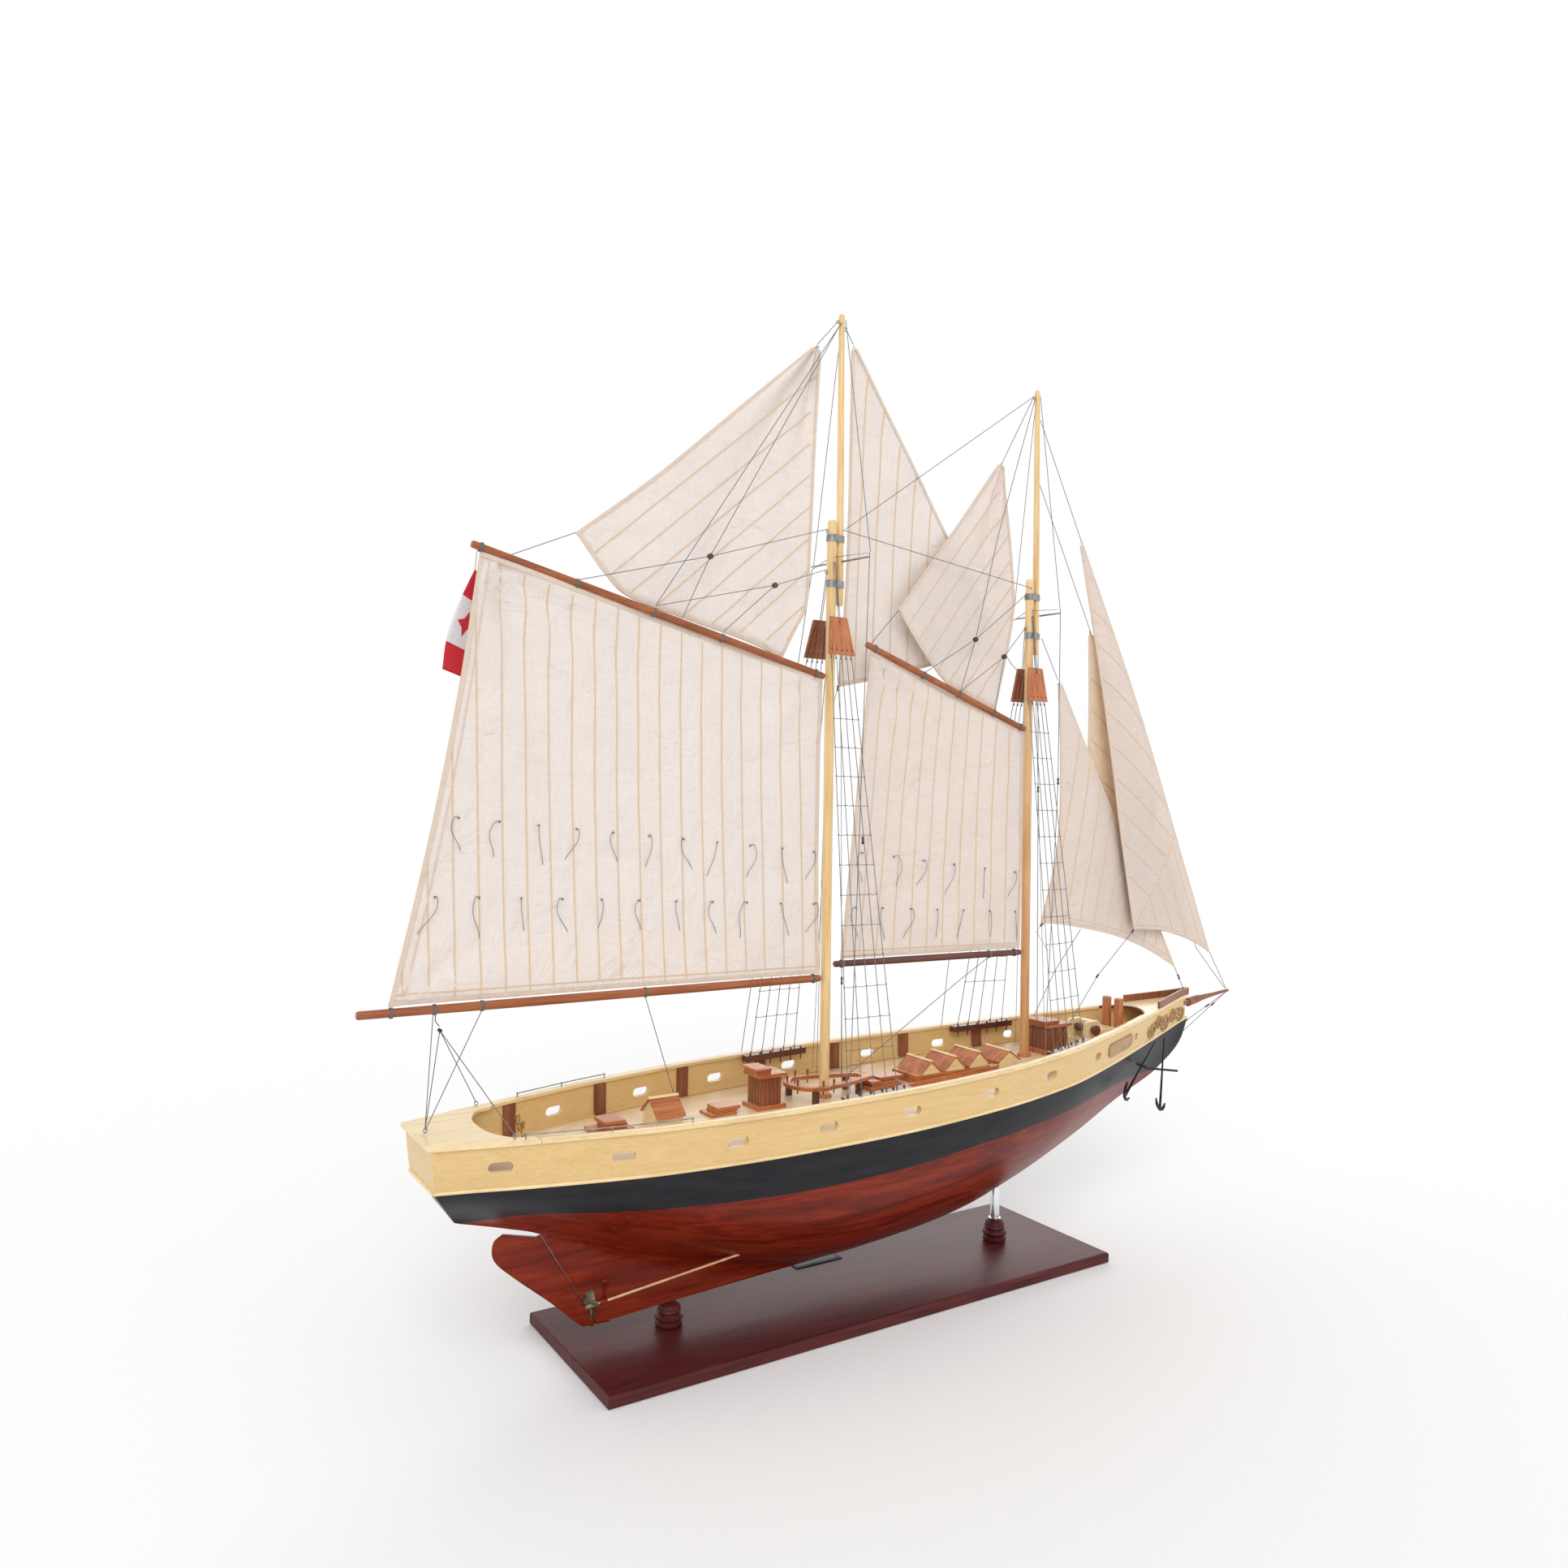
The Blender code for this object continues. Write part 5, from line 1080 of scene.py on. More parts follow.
def bow_ornament():
    """A blank name board and a plain scroll, carved at each bow."""
    for side, name in ((1, "port"), (-1, "starboard")):
        aft, fore, corner = 272, 323, 6.0
        for part, finish, margin, proud in (("frame", SCROLL, 0.0, 1.0), ("board", NAME_BOARD, 1.3, 1.5)):
            rings = []
            for x in steps(aft + margin, fore - margin, 24):
                from_end = min(x - aft, fore - x, corner)
                height = 2.2 + 4.8 * math.sqrt(1 - (1 - from_end / corner) ** 2) - margin * 0.8
                middle = lerp(wale_z(x), rail_z(x), 0.52)
                rings.append([skin_at(x, middle + way * height, side, out) for way, out in
                              ((-1, 0.1), (-1, proud), (1, proud), (1, 0.1))])
            Shape().loft(rings).make(f"name_{part}_{name}", SHIP, finish, bevel=0.3)

        carving = Shape()

        def curl(x, level, size, turns, start, way=1):
            path = []
            for k in range(int(16 * turns) + 1):
                s = k / (16 * turns)
                a = start + way * 2 * math.pi * turns * s
                r = size * (1 - 0.82 * s)
                spot = x + r * math.cos(a)
                height = lerp(wale_z(spot), rail_z(spot), level) + r * math.sin(a)
                path.append(skin_at(min(spot, 458), height, side, 0.7))
            radii = [1.6 * (0.55 + 0.45 * math.sin(math.pi * (k + 1) / (len(path) + 1)))
                     for k in range(len(path))]
            carving.tube(path, radii, 6)

        curl(371, 0.42, 9.0, 1.5, 2.6)
        curl(387, 0.62, 8.0, 1.4, 0.4, -1)
        curl(405, 0.43, 10.0, 1.5, 3.0)
        curl(424, 0.53, 8.5, 1.5, 0.2, -1)
        curl(443, 0.4, 8.0, 1.4, 3.4)
        sprig = [skin_at(x, lerp(wale_z(x), rail_z(x), 0.5 + 0.16 * math.sin((x - 366) / 9)), side, 0.6)
                 for x in steps(366, 452, 26)]
        carving.tube(sprig, 0.8, 6)
        carving.make(f"scroll_{name}", SHIP, SCROLL, smooth=60)


def anchors():
    for node in ("anchor_fore", "anchor_aft"):
        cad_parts[node].data.materials[0] = GUN


def eye(shape, place):
    """Add a small ring bolt."""
    place, radius, wire = Vector(place), 1.5, 0.32
    ring = [place + Vector((radius * math.cos(a), 0, radius + 0.4 + radius * math.sin(a)))
            for a in circle(12)]
    shape.tube(ring, wire, 5, loop=True)
    shape.tube([place + Vector((0, 0, -1.5)), place + Vector((0, 0, 0.6))], wire * 1.3, 5)


def deck_iron():
    """Ring bolts at the stern, and the rods that run along the quarters on short stanchions."""
    shape = Shape()
    for place in ((-363.5, 0, 188), (-311, 50.2, 188.6), (-314.5, -45, 188.6)):
        eye(shape, place)
    for side, ends in ((1, (-276, -194)), (-1, (-308, -192))):
        line = []
        for x in steps(ends[0], ends[1], 10):
            line.append(Vector((x, side * (half_breadth(x) - 5.2), rail_z(x) + RAIL_THICKNESS + 3.2)))
        shape.tube(line, 0.48, 8)
        for k in (0, 5, 10):
            shape.tube([line[k] - Vector((0, 0, 4)), line[k] + Vector((0, 0, 0.4))], 0.5, 6)
            shape.bead(line[k], 0.9, (1, 0, 0.05), 8)
    shape.make("quarter_rods", SHIP, IRON, smooth=60)


# ---- masts and spars ----

MAIN_MAST = ((-22, 170.5), (-26, 669), 8.6)
MAIN_TOPMAST = ((-16.4, 596), (-20.2, 850), 6.4)
FORE_MAST = ((216, 180.5), (212, 647), 8.6)
FORE_TOPMAST = ((221.6, 574), (217.6, 834), 6.4)


def at(ends, z):
    (x0, z0), (x1, z1), _ = ends
    return lerp(x0, x1, (z - z0) / (z1 - z0))


def masts():
    for name, low, high, bands, finish in (
            ("main", MAIN_MAST, MAIN_TOPMAST, (614.5, 654), PINE),
            ("fore", FORE_MAST, FORE_TOPMAST, (592, 630), AMBER_PINE)):
        (x0, z0), (x1, z1), thick = low
        path = [(lerp(x0, x1, s), 0, lerp(z0, z1, s)) for s in (0, 0.2, 0.6, 0.97, 0.996, 1)]
        radii = [thick / 2 * k for k in (1, 1, 0.98, 0.96, 0.92, 0.75)]
        mast = Shape().tube(path, radii, 32)
        mast.make(f"{name}_lower_mast", SHIP, finish, [f"{name}_mast"], smooth=50)
        collar = Shape().turn([(6.6, -0.5), (6.6, 1.2), (5.6, 2.4), (4.3, 2.6)], (x0, 0, on_deck(x0)),
                              sides=32)
        collar.make(f"{name}_mast_collar", SHIP, MAHOGANY, smooth=50)

        (x0, z0), (x1, z1), thick = high
        path = [(lerp(x0, x1, s), 0, lerp(z0, z1, s)) for s in (0, 0.006, 0.5, 0.992, 1)]
        radii = [thick / 2 * k for k in (0.7, 1, 0.93, 0.82, 0.6)]
        Shape().tube(path, radii, 28).make(f"{name}_top_mast", SHIP, PINE, [f"{name}_topmast"], smooth=50)

        iron = Shape()
        for z in bands:
            x_low, x_top = at(low, z), at(high, z)
            outline = []
            for x, reach, first, last, count in ((x_low, 4.9, 90, 270, 14), (x_top, 3.9, -90, 90, 12)):
                turn = [math.radians(a) for a in steps(first, last, count)]
                outline += [(x + reach * math.cos(a), reach * math.sin(a)) for a in turn]
            iron.loft([[(x, y, z + rise) for x, y in outline] for rise in (-2.9, 2.9)])
            for rise, y in ((-1.7, -4.9), (-1.7, 4.9), (1.7, -4.9), (1.7, 4.9)):
                iron.bead((x_low, y, z + rise), 0.7, (0, 1, 0), 6)
        iron.make(f"{name}_mast_bands", SHIP, IRON, bevel=0.25, smooth=40)

    spreaders = Shape()
    for centre, fore_aft, half in (((-17.5, 634.5), 1.5, 45), ((223, 612.5), 10, 40)):
        for side in (-1, 1):
            inner = Vector((centre[0] + side * fore_aft * 0.12, side * 4.6, centre[1] + side * 0.4))
            outer = Vector((centre[0] + side * fore_aft, side * half, centre[1] + side * 3.0))
            spreaders.tube([inner, inner.lerp(outer, 0.5), outer], [0.95, 0.85, 0.7], 8)
    spreaders.make("spreaders", SHIP, IRON, smooth=60)


def spar(name, node, body, ends, thick, finish, ties=()):
    a, b = Vector((ends[0][0], 0, ends[0][1])), Vector((ends[1][0], 0, ends[1][1]))
    shape = Shape().tube([a.lerp(b, s) for s in (0, 0.004, 0.3, 0.7, 0.99, 1)],
                         [thick / 2 * k for k in (0.72, 0.88, 1, 1, 0.92, 0.8)], 24)
    shape.make(name, body, finish, [node], smooth=50)
    if ties:
        whipping = Shape()
        for x in ties:
            centre = a.lerp(b, (x - a.x) / (b.x - a.x))
            along = (b - a).normalized()
            for k in range(3):
                spot = centre + along * (k - 1) * 0.7
                side, up = across(along)
                ring = [spot + (thick / 2 + 0.25) * (math.cos(t) * side + math.sin(t) * up)
                        for t in circle(16)]
                whipping.tube(ring, 0.36, 5, loop=True)
        whipping.make(f"{name}_ties", body, ROPE, smooth=60)


def spars():
    spar("main_gaff_spar", "main_gaff", MAIN, ((-341, 605.5), (-31.5, 533.8)), 6.2, SPAR,
         (-334, -260, -195, -133, -40))
    spar("main_boom_spar", "main_boom", MAIN, ((-412, 274), (-29.5, 274)), 6.8, SPAR,
         (-389, -359, -325, -195, -36))
    spar("fore_gaff_spar", "fore_gaff", FORE, ((14, 565.5), (207.5, 500.3)), 6.2, SPAR,
         (23, 80, 123, 167, 202))
    spar("fore_boom_spar", "fore_boom", FORE, ((-14, 285), (207.5, 283.2)), 6.2, DARK, (-6, 167, 200))


# ---- sails ----

def along_line(points, s):
    """Return the point at share s of a broken line's length."""
    points = [Vector(p) for p in points]
    spans = [(b - a).length for a, b in zip(points, points[1:])]
    way = s * sum(spans)
    for a, b, span in zip(points, points[1:], spans):
        if way <= span:
            return a.lerp(b, way / span)
        way -= span
    return points[-1]


class Sail:
    """A sail's surface: u runs from the after edge to the fore edge, v from the foot to the head."""

    def __init__(self, name, body, aft, fore, foot=None, belly=5.0, crease=1.0, seed=0.0, folds=()):
        self.folds = folds
        self.name, self.body, self.belly, self.crease, self.seed = name, body, belly, crease, seed
        self.aft, self.fore = rounded(aft, 8), rounded(fore, 8)
        self.foot = rounded(foot, 8) if foot else [self.aft[0], self.fore[0]]

    def at(self, u, v, out=0.0):
        a, b = along_line(self.aft, v), along_line(self.fore, v)
        point = a.lerp(b, u)
        bottom = along_line(self.foot, u) - self.aft[0].lerp(self.fore[0], u)
        point = point + bottom * (1 - v) ** 4
        edge = math.sin(math.pi * min(max(u, 0), 1)) ** 0.7
        point.y += self.belly * 4 * u * (1 - u) * math.sin(math.pi * (0.1 + 0.8 * v))
        where = Vector((point.x * 0.021 + self.seed, point.z * 0.014, self.seed))
        fine = Vector((point.x * 0.06 + self.seed, point.z * 0.045, 3 + self.seed))
        ripple = noise.noise(where) * 1.6 + noise.noise(fine) * 0.55
        for (x, z), height, count, reach in self.folds:
            far = math.hypot(point.x - x, point.z - z) / reach
            ray = math.atan2(point.z - z, point.x - x)
            fade = far * math.exp(1 - far) * math.exp(-far)
            ripple += height * math.sin(ray * count + self.seed) * fade
        point.y += ripple * self.crease * (0.35 + 0.65 * edge) + out
        return point

    def on(self, u, v):
        """Return the place on the finished mesh, so that what is sewn on follows each fold."""
        rows, columns = len(self.grid) - 1, len(self.grid[0]) - 1
        u, v = min(max(u, 0), 1) * columns, min(max(v, 0), 1) * rows
        i, k = min(int(u), columns - 1), min(int(v), rows - 1)
        low = self.grid[k][i].lerp(self.grid[k][i + 1], u - i)
        return low.lerp(self.grid[k + 1][i].lerp(self.grid[k + 1][i + 1], u - i), v - k)

    def find(self, x, z):
        """Return the (u, v) of the cloth at a place seen from the side."""
        u, v, step = 0.5, 0.5, 0.01
        for _ in range(10):
            here, along, above = self.at(u, v), self.at(u + step, v), self.at(u, v + step)
            a, b, c, d = along.x - here.x, above.x - here.x, along.z - here.z, above.z - here.z
            wide = a * d - b * c or 1e-9
            u += step * ((x - here.x) * d - (z - here.z) * b) / wide
            v += step * ((z - here.z) * a - (x - here.x) * c) / wide
            u, v = min(max(u, -0.3), 1.3), min(max(v, -0.3), 1.3)
        return u, v

    def rulings(self, origin, direction, spacing, count, keep=lambda x, z: True):
        """Return straight parallel seams: the first passes through origin, the rest lie beside it."""
        way = Vector((direction[0], direction[1], 0)).normalized()
        seams = []
        for k in range(count):
            start = Vector((origin[0], origin[1], 0)) + Vector((way.y, -way.x, 0)) * spacing * k
            line = []
            for t in range(-60, 61):
                spot = start + way * t * 6
                u, v = self.find(spot.x, spot.y)
                if 0.004 < u < 0.996 and 0.004 < v < 0.996 and keep(spot.x, spot.y):
                    line.append((u, v))
            if len(line) > 3:
                seams.append(line)
        return seams

    def cloth(self, node, columns=44, rows=44, finish=None):
        shape = Shape()
        grid = [[self.at(i / columns, k / rows) for i in range(columns + 1)] for k in range(rows + 1)]
        self.grid = grid
        shape.loft(grid, caps=False, loop=False)
        made = shape.make(self.name, self.body, finish or CLOTH, node, smooth=80, merge=False)
        thicken(made, 0.45)
        return made

    def ribbon(self, shape, line, width, proud=0.5):
        """Lay a flat tape along a line of (u, v) points, showing on both faces."""
        rings = []
        spots = [self.on(u, v) for u, v in line]
        for k, (u, v) in enumerate(line):
            ahead = spots[min(k + 1, len(spots) - 1)] - spots[max(k - 1, 0)]
            ahead.y = 0
            if ahead.length < 0.01:
                continue
            ahead.normalize()
            beside = Vector((-ahead.z, 0, ahead.x)) * width / 2
            spot = spots[k]
            out = Vector((0, proud, 0))
            rings.append([spot - beside - out, spot + beside - out, spot + beside + out,
                          spot - beside + out])
        return shape.loft(rings)

    def trim(self, seams, hems):
        """Add the seams between cloths, and the doubled hems with their stitching."""
        tape = Shape()
        for line in seams:
            self.ribbon(tape, line, 1.0)
        stitch = Shape()
        for line, width in hems:
            self.ribbon(stitch, line, width, 0.62)
        seam_piece = tape.make(f"{self.name}_seams", self.body, SEAM, smooth=60)
        hem_piece = stitch.make(f"{self.name}_hems", self.body, HEM, smooth=60)
        return [seam_piece, hem_piece]

    def edges(self, width, head=False, inset=0.006):
        """Return the hems of the after edge, the fore edge and the foot, and of the head if asked."""
        upright, level = steps(0.0, 0.985, 30), steps(0.0, 1.0, 30)
        lines = [[(inset, s) for s in upright], [(1 - inset, s) for s in upright],
                 [(s, 0.006) for s in level]]
        if head:
            lines.append([(s, 0.994) for s in level])
        return [(line, width) for line in lines]


def uv_line(a, b, count):
    return list(zip(steps(a[0], b[0], count), steps(a[1], b[1], count)))


def reef_points(sail, rows):
    """Add the short lengths of thread knotted through the sail, hanging on both faces."""
    shape = Shape()
    for v, count, first, last in rows:
        for k in range(count):
            u = lerp(first, last, k / (count - 1))
            knot = sail.on(u, v)
            for side in (-1, 1):
                start = knot + Vector((0, side * 0.5, 0))
                shape.bead(start + Vector((0, side * 0.4, 0)), 0.85, (0, 1, 0), 6)
                lean = chance.uniform(-0.5, 0.5)
                length = chance.uniform(29, 38)
                hump = chance.uniform(0.0, 2.0)
                swing = chance.uniform(-5.5, 5.5)
                path = [start]
                for j in range(1, 9):
                    s = j / 8
                    x = start.x + lean * length * 0.55 * s + swing * math.sin(math.pi * s * 1.4)
                    rise = hump * math.sin(math.pi * min(s * 2.2, 1))
                    z = start.z + rise - length * 0.88 * max(s - 0.12, 0)
                    path.append(Vector((x, start.y + side * (0.8 + 1.2 * math.sin(math.pi * s)), z)))
                shape.tube(rounded(path, 2), FINE, 5)
    return shape.make(f"{sail.name}_reef_points", sail.body, ROPE, smooth=60)


def gaff_sails():
    main = Sail("mainsail_cloth", MAIN,
                [(-391, 0, 278.4), (-373, 0, 360), (-357.5, 0, 440), (-344.5, 0, 520), (-334.5, 0, 601.3)],
                [(-30, 0, 278.2), (-33, 0, 360), (-34, 0, 450), (-33, 0, 531.2)], belly=8, seed=1.3,
                folds=(((-334, 601), 9.0, 11, 75), ((-391, 278), 5.0, 11, 50), ((-33, 531), 3.0, 9, 50)))
    made = main.cloth(["mainsail"], 60, 56)
    seams = main.rulings((-51, 400), (-0.04, 1), -18.6, 19)
    hems = main.edges(3.4, head=True, inset=0.005)
    hems.append((uv_line((0.028, 0.0), (0.024, 1.0), 24), 1.0))
    parts = main.trim(seams + [uv_line((0.0, 0.024), (1.0, 0.024), 30)], hems)
    reefs = reef_points(main, [(0.412, 11, 0.055, 0.985), (0.235, 11, 0.04, 0.985)])

    fore = Sail("foresail_cloth", FORE, [(-7, 0, 289), (1, 0, 370), (10, 0, 465), (19, 0, 560.5)],
                [(207, 0, 287.4), (207.5, 0, 360), (207, 0, 430), (206.5, 0, 498)], belly=6, seed=4.1,
                folds=(((18, 560), 6.0, 11, 55), ((207, 287), 3.0, 9, 40)))
    made = fore.cloth(["foresail"], 46, 52, CREAM_CLOTH)
    seams = [uv_line((k / 11, 0.0), (k / 11, 1.0), 30) for k in range(1, 11)]
    parts = fore.trim(seams + [uv_line((0.0, 0.024), (1.0, 0.024), 24)], fore.edges(3.2, head=True))
    reefs = reef_points(fore, [(0.345, 6, 0.06, 0.96), (0.165, 7, 0.05, 0.97)])


def topsails():
    main = Sail("main_topsail_cloth", MAIN,
                [(-260, 5, 626), (-190, 4.5, 684), (-118, 3, 751), (-45, 1.5, 818)],
                [(-72, 5, 546), (-58, 5, 573), (-47, 4.5, 598), (-45, 3.5, 670), (-43.6, 2.5, 745),
                 (-42, 1.5, 819)],
                [(-260, 5, 626), (-236, 5, 598), (-213, 5, 581.5), (-156, 5, 569), (-100, 5, 556),
                 (-72, 5, 546)],
                belly=3, seed=7.7,
                folds=(((-44, 820), 8.0, 15, 90), ((-72, 546), 4.0, 9, 60), ((-260, 626), 3.5, 11, 50)))
    made = main.cloth(["main_topsail"])
    seams = main.rulings((-142, 704), (215, 192), 20.5, 12)
    parts = main.trim(seams, main.edges(2.6))

    fore = Sail("fore_topsail_cloth", FORE,
                [(53, 4.3, 601), (92, 4, 651), (133, 3, 703), (172, 1.5, 755)],
                [(173, 4.3, 517), (184, 4.3, 560), (195, 4, 615), (190, 3, 664), (182, 2, 711),
                 (174.5, 1.5, 756)],
                [(53, 4.3, 601), (78, 4.3, 569), (108, 4.3, 541), (120, 4.3, 535), (148, 4.3, 525),
                 (173, 4.3, 517)],
                belly=1, seed=2.9, folds=(((173, 756), 5.0, 15, 60), ((173, 517), 2.5, 9, 40)))
    made = fore.cloth(["fore_topsail"], 36, 40, CREAM_CLOTH)
    seams = fore.rulings((121, 662), (119, 154), 17.5, 10)
    parts = fore.trim(seams, fore.edges(2.6))


def headsails():
    stay = Sail("main_staysail_cloth", SHIP, [(-2, 20, 528), (2, 16, 620), (-1, 9, 730), (-5.5, 3, 828)],
                [(188, 13, 580), (122, 9.6, 665), (58, 6.2, 748), (-5, 3, 829)],
                [(-2, 20, 528), (40, 18.5, 538), (110, 16, 557), (188, 13, 580)], belly=3, seed=5.2)
    made = stay.cloth(["main_staysail"], 36, 44)
    seams = stay.rulings((15, 600), (-0.01, 1), 19.5, 10)
    parts = stay.trim(seams, stay.edges(2.6))

    inner = Sail("fore_staysail_cloth", SHIP,
                 [(230, -6, 311), (252, -5, 385), (256.5, -3.4, 470), (253.4, -1.4, 551)],
                 [(437, -1, 256), (377, -1, 353), (314, -1, 453), (254, -1, 551.5)],
                 [(230, -6, 311), (268, -5, 307), (337, -3.4, 294), (390, -2, 277), (437, -1, 256)],
                 belly=-3, crease=0.5, seed=8.4)
    made = inner.cloth(["fore_staysail"], 36, 44, WARM_CLOTH)
    seams = inner.rulings((262, 400), (0.21, 1), 20.5, 9)
    hems = inner.edges(2.8) + [(uv_line((0.0, 0.034), (0.97, 0.034), 22), 1.0)]
    parts = inner.trim(seams, hems)

    middle = Sail("middle_jib_cloth", SHIP,
                  [(302, 9, 304), (304.5, 7, 400), (304, 4, 510), (298.4, 1, 605)],
                  [(472, 0.5, 280), (417, 0.5, 383), (358, 0.5, 495), (299, 0.5, 606)],
                  [(302, 9, 304), (360, 6, 310), (420, 3, 303), (472, 0.5, 280)],
                  belly=3, crease=0.5, seed=3.3)
    # the middle jib wears the cloth of painted overlap shade
    made = middle.cloth(["middle_jib"], 30, 40, OVERLAP_SHADE_CLOTH)
    seams = middle.rulings((300, 590), (46, -29.6), 25, 14)
    parts = middle.trim(seams, middle.edges(2.6))

    clew, knee = Vector((356, 0, 300)), Vector((432.5, 0, 396))
    slope = (knee.z - clew.z) / (knee.x - clew.x)
    flying = Sail("flying_jib_cloth", SHIP,
                  [(356, -14, 300), (337, -11, 400), (315, -6, 533), (281, -0.5, 696)],
                  [(497, 0, 268), (463, 0, 340), (376, 0, 524), (281.6, 0, 697)],
                  [(356, -14, 300), (405, -9, 296), (455, -4, 284), (497, 0, 268)],
                  belly=-6, crease=0.6, seed=6.6)
    made = flying.cloth(["flying_jib"], 36, 56, WARM_CLOTH)
    upper = flying.rulings((290, 690), (46, -29.6), 25, 17,
                           lambda x, z: z > clew.z + slope * (x - clew.x))
    lower = flying.rulings((481, 276), (-216, 429), -21, 7,
                           lambda x, z: z < clew.z + slope * (x - clew.x))
    mitre = flying.rulings((clew.x, clew.z), (knee.x - clew.x, knee.z - clew.z), 1, 1)
    parts = flying.trim(upper + lower + mitre, flying.edges(2.8))


def flag():
    """The ensign below the gaff's peak: two red bands, and a white one with a four-pointed red star."""
    cloth = Sail("ensign", MAIN, [(-357, 9, 515), (-354, 10, 538), (-345, 10, 566), (-335.5, 8, 589)],
                 [(-333, 12, 508), (-326, 13, 532), (-321, 11, 556), (-318.5, 9, 577)],
                 belly=1.5, crease=1.6, seed=9.1)
    shape = Shape()
    columns, rows = 14, 30
    grid = [[cloth.at(i / columns, k / rows) for i in range(columns + 1)] for k in range(rows + 1)]
    for k in range(rows):
        shape.loft(grid[k:k + 2], 0 if k < 8 or k >= 22 else 1, caps=False, loop=False)
    made = shape.make("ensign", MAIN, [FLAG_RED, FLAG_WHITE], ["flag"], smooth=80)
    thicken(made, 0.35)
    badge = Shape()
    for side in (-1, 1):
        centre = (0.36, 0.5)
        corners = [(0.0, 0.13), (0.075, 0.045), (0.24, 0.0), (0.075, -0.045),
                   (0.0, -0.13), (-0.075, -0.045), (-0.24, 0.0), (-0.075, 0.045)]
        points = [cloth.at(centre[0] + a, centre[1] + b, side * 0.32) for a, b in corners]
        middle = cloth.at(*centre, side * 0.34)
        badge.add(points + [middle], [(i, (i + 1) % 8, 8) for i in range(8)])
    emblem = badge.make("ensign_badge", MAIN, FLAG_RED)
    halyard = Shape().tube([(-335.5, 8, 589), (-336, 2, 603)], FINE, 5)
    halyard.tube([(-318.5, 9, 577), (-322, 2, 600)], FINE, 5)
    halyard.make("ensign_halyard", MAIN, ROPE, smooth=60)


# ---- rigging ----

def shrouds(name, side, mast, hounds, feet, head, levels, board):
    """One gang: the hounds board hung from the mast head, its shrouds and their ratlines."""
    x, z_top, z_bottom, top_y, bottom_y = hounds
    shape = Shape()
    rings = []
    for z, y, wide in ((z_top, top_y, 17), (z_top - 1.2, top_y + 0.2, 17.6),
                       (z_bottom - 1, bottom_y + 0.2, 27)):
        rings.append([(x + a * wide / 2, side * (y + b * 1.25), z) for a, b in CORNERS])
    shape.loft(rings)
    shape.make(f"{name}_hounds_board", SHIP, board, bevel=0.3)

    marks, ropes = Shape(), Shape()
    ends = []
    for k in range(5):
        offset = (k - 2) * 5.2
        hole = Vector((x + offset, side * (bottom_y - 0.6), z_bottom + 3))
        for face in (-1.3, 1.3):
            marks.bead(hole + Vector((0, side * face, 0)), 0.85, (0, 1, 0), 8)
            groove = [hole + Vector((0, side * face, 0.4)),
                      (x + offset * 0.66, side * (top_y + 0.6 + face), z_top - 6)]
            marks.tube(groove, 0.22, 4)
        foot = Vector((feet[k], side * (half_breadth(feet[k]) - RAIL_WIDTH - 4.7),
                       rail_z(feet[k]) + 2.4))
        start = hole + Vector((0, side * 0.2, -1.0))
        sag = Vector((0.25, side * 0.35, 0))
        ropes.tube([start, start.lerp(foot, 0.5) + sag, foot], THREAD, 6)
        ropes.tube([hole + Vector((0, -side * 1.5, 0.2)), hole + Vector((0, -side * 1.4, -4.2)),
                    start + Vector((0, 0, -6))], FINE, 5)
        ropes.bead(start + Vector((0, side * 0.1, -6)), 0.9, (0, 0, 1), 6)
        for lift in (1.0, 2.2):
            ropes.bead(foot + Vector((0, 0, lift)), 0.85, (0, 0, 1), 6)
        ends.append((start, foot))
    marks.bead((x, side * (top_y + 1.6), z_top - 4.5), 0.9, (0, 1, 0), 8)
    marks.make(f"{name}_hounds_marks", SHIP, DARK, smooth=60)
    hang = Vector((x, side * (top_y + 0.4), z_top - 4))
    for shift in (-0.8, 0.8):
        ropes.tube([(at(mast, head) + shift, side * 4.4, head), hang + Vector((shift, side * 1.5, 0))],
                   THREAD, 6)
    for z in levels:
        line = []
        for start, foot in ends:
            share = (start.z - z) / (start.z - foot.z)
            line.append(start.lerp(foot, share) + Vector((0, side * 0.45, 0)))
        path = []
        for a, b in zip(line, line[1:]):
            path += [a, a.lerp(b, 0.5) - Vector((0, 0, 0.45))]
        ropes.tube(path + [line[-1]], FINE, 5)
        for spot in line:
            ropes.bead(spot, 0.72, (1, 0, 0), 6)
    return ropes.make(f"{name}_shroud_lines", SHIP, ROPE, [name], smooth=60)


def all_shrouds():
    main_levels = [496 - 24.3 * k for k in range(12)]
    fore_levels = [497 - 25 * k for k in range(11)]
    for side, name, board in ((1, "port", MAHOGANY_Z), (-1, "starboard", BOARD)):
        main_feet = [-47, -35, -23, -11, 1] if side > 0 else [-56, -43, -31, -18.5, -8]
        shrouds(f"main_shrouds_{name}", side, MAIN_MAST, (-26.3, 584, 552, 12.7, 18.3), main_feet, 633,
                main_levels, board)
        shrouds(f"fore_shrouds_{name}", side, FORE_MAST, (214, 560, 528.5, 7.6, 10.4),
                [188, 200, 212, 225, 238], 611, fore_levels, board)


def toggle(shape, place, along, length=6.5):
    """Add the little turned toggle that joins two threads."""
    way = Vector(along).normalized()
    place = Vector(place) - way * length / 2
    profile = ((0.5, 0), (1.15, 0.12), (0.75, 0.5), (1.15, 0.88), (0.5, 1))
    shape.turn([(r, share * length) for r, share in profile], place, way, 8)


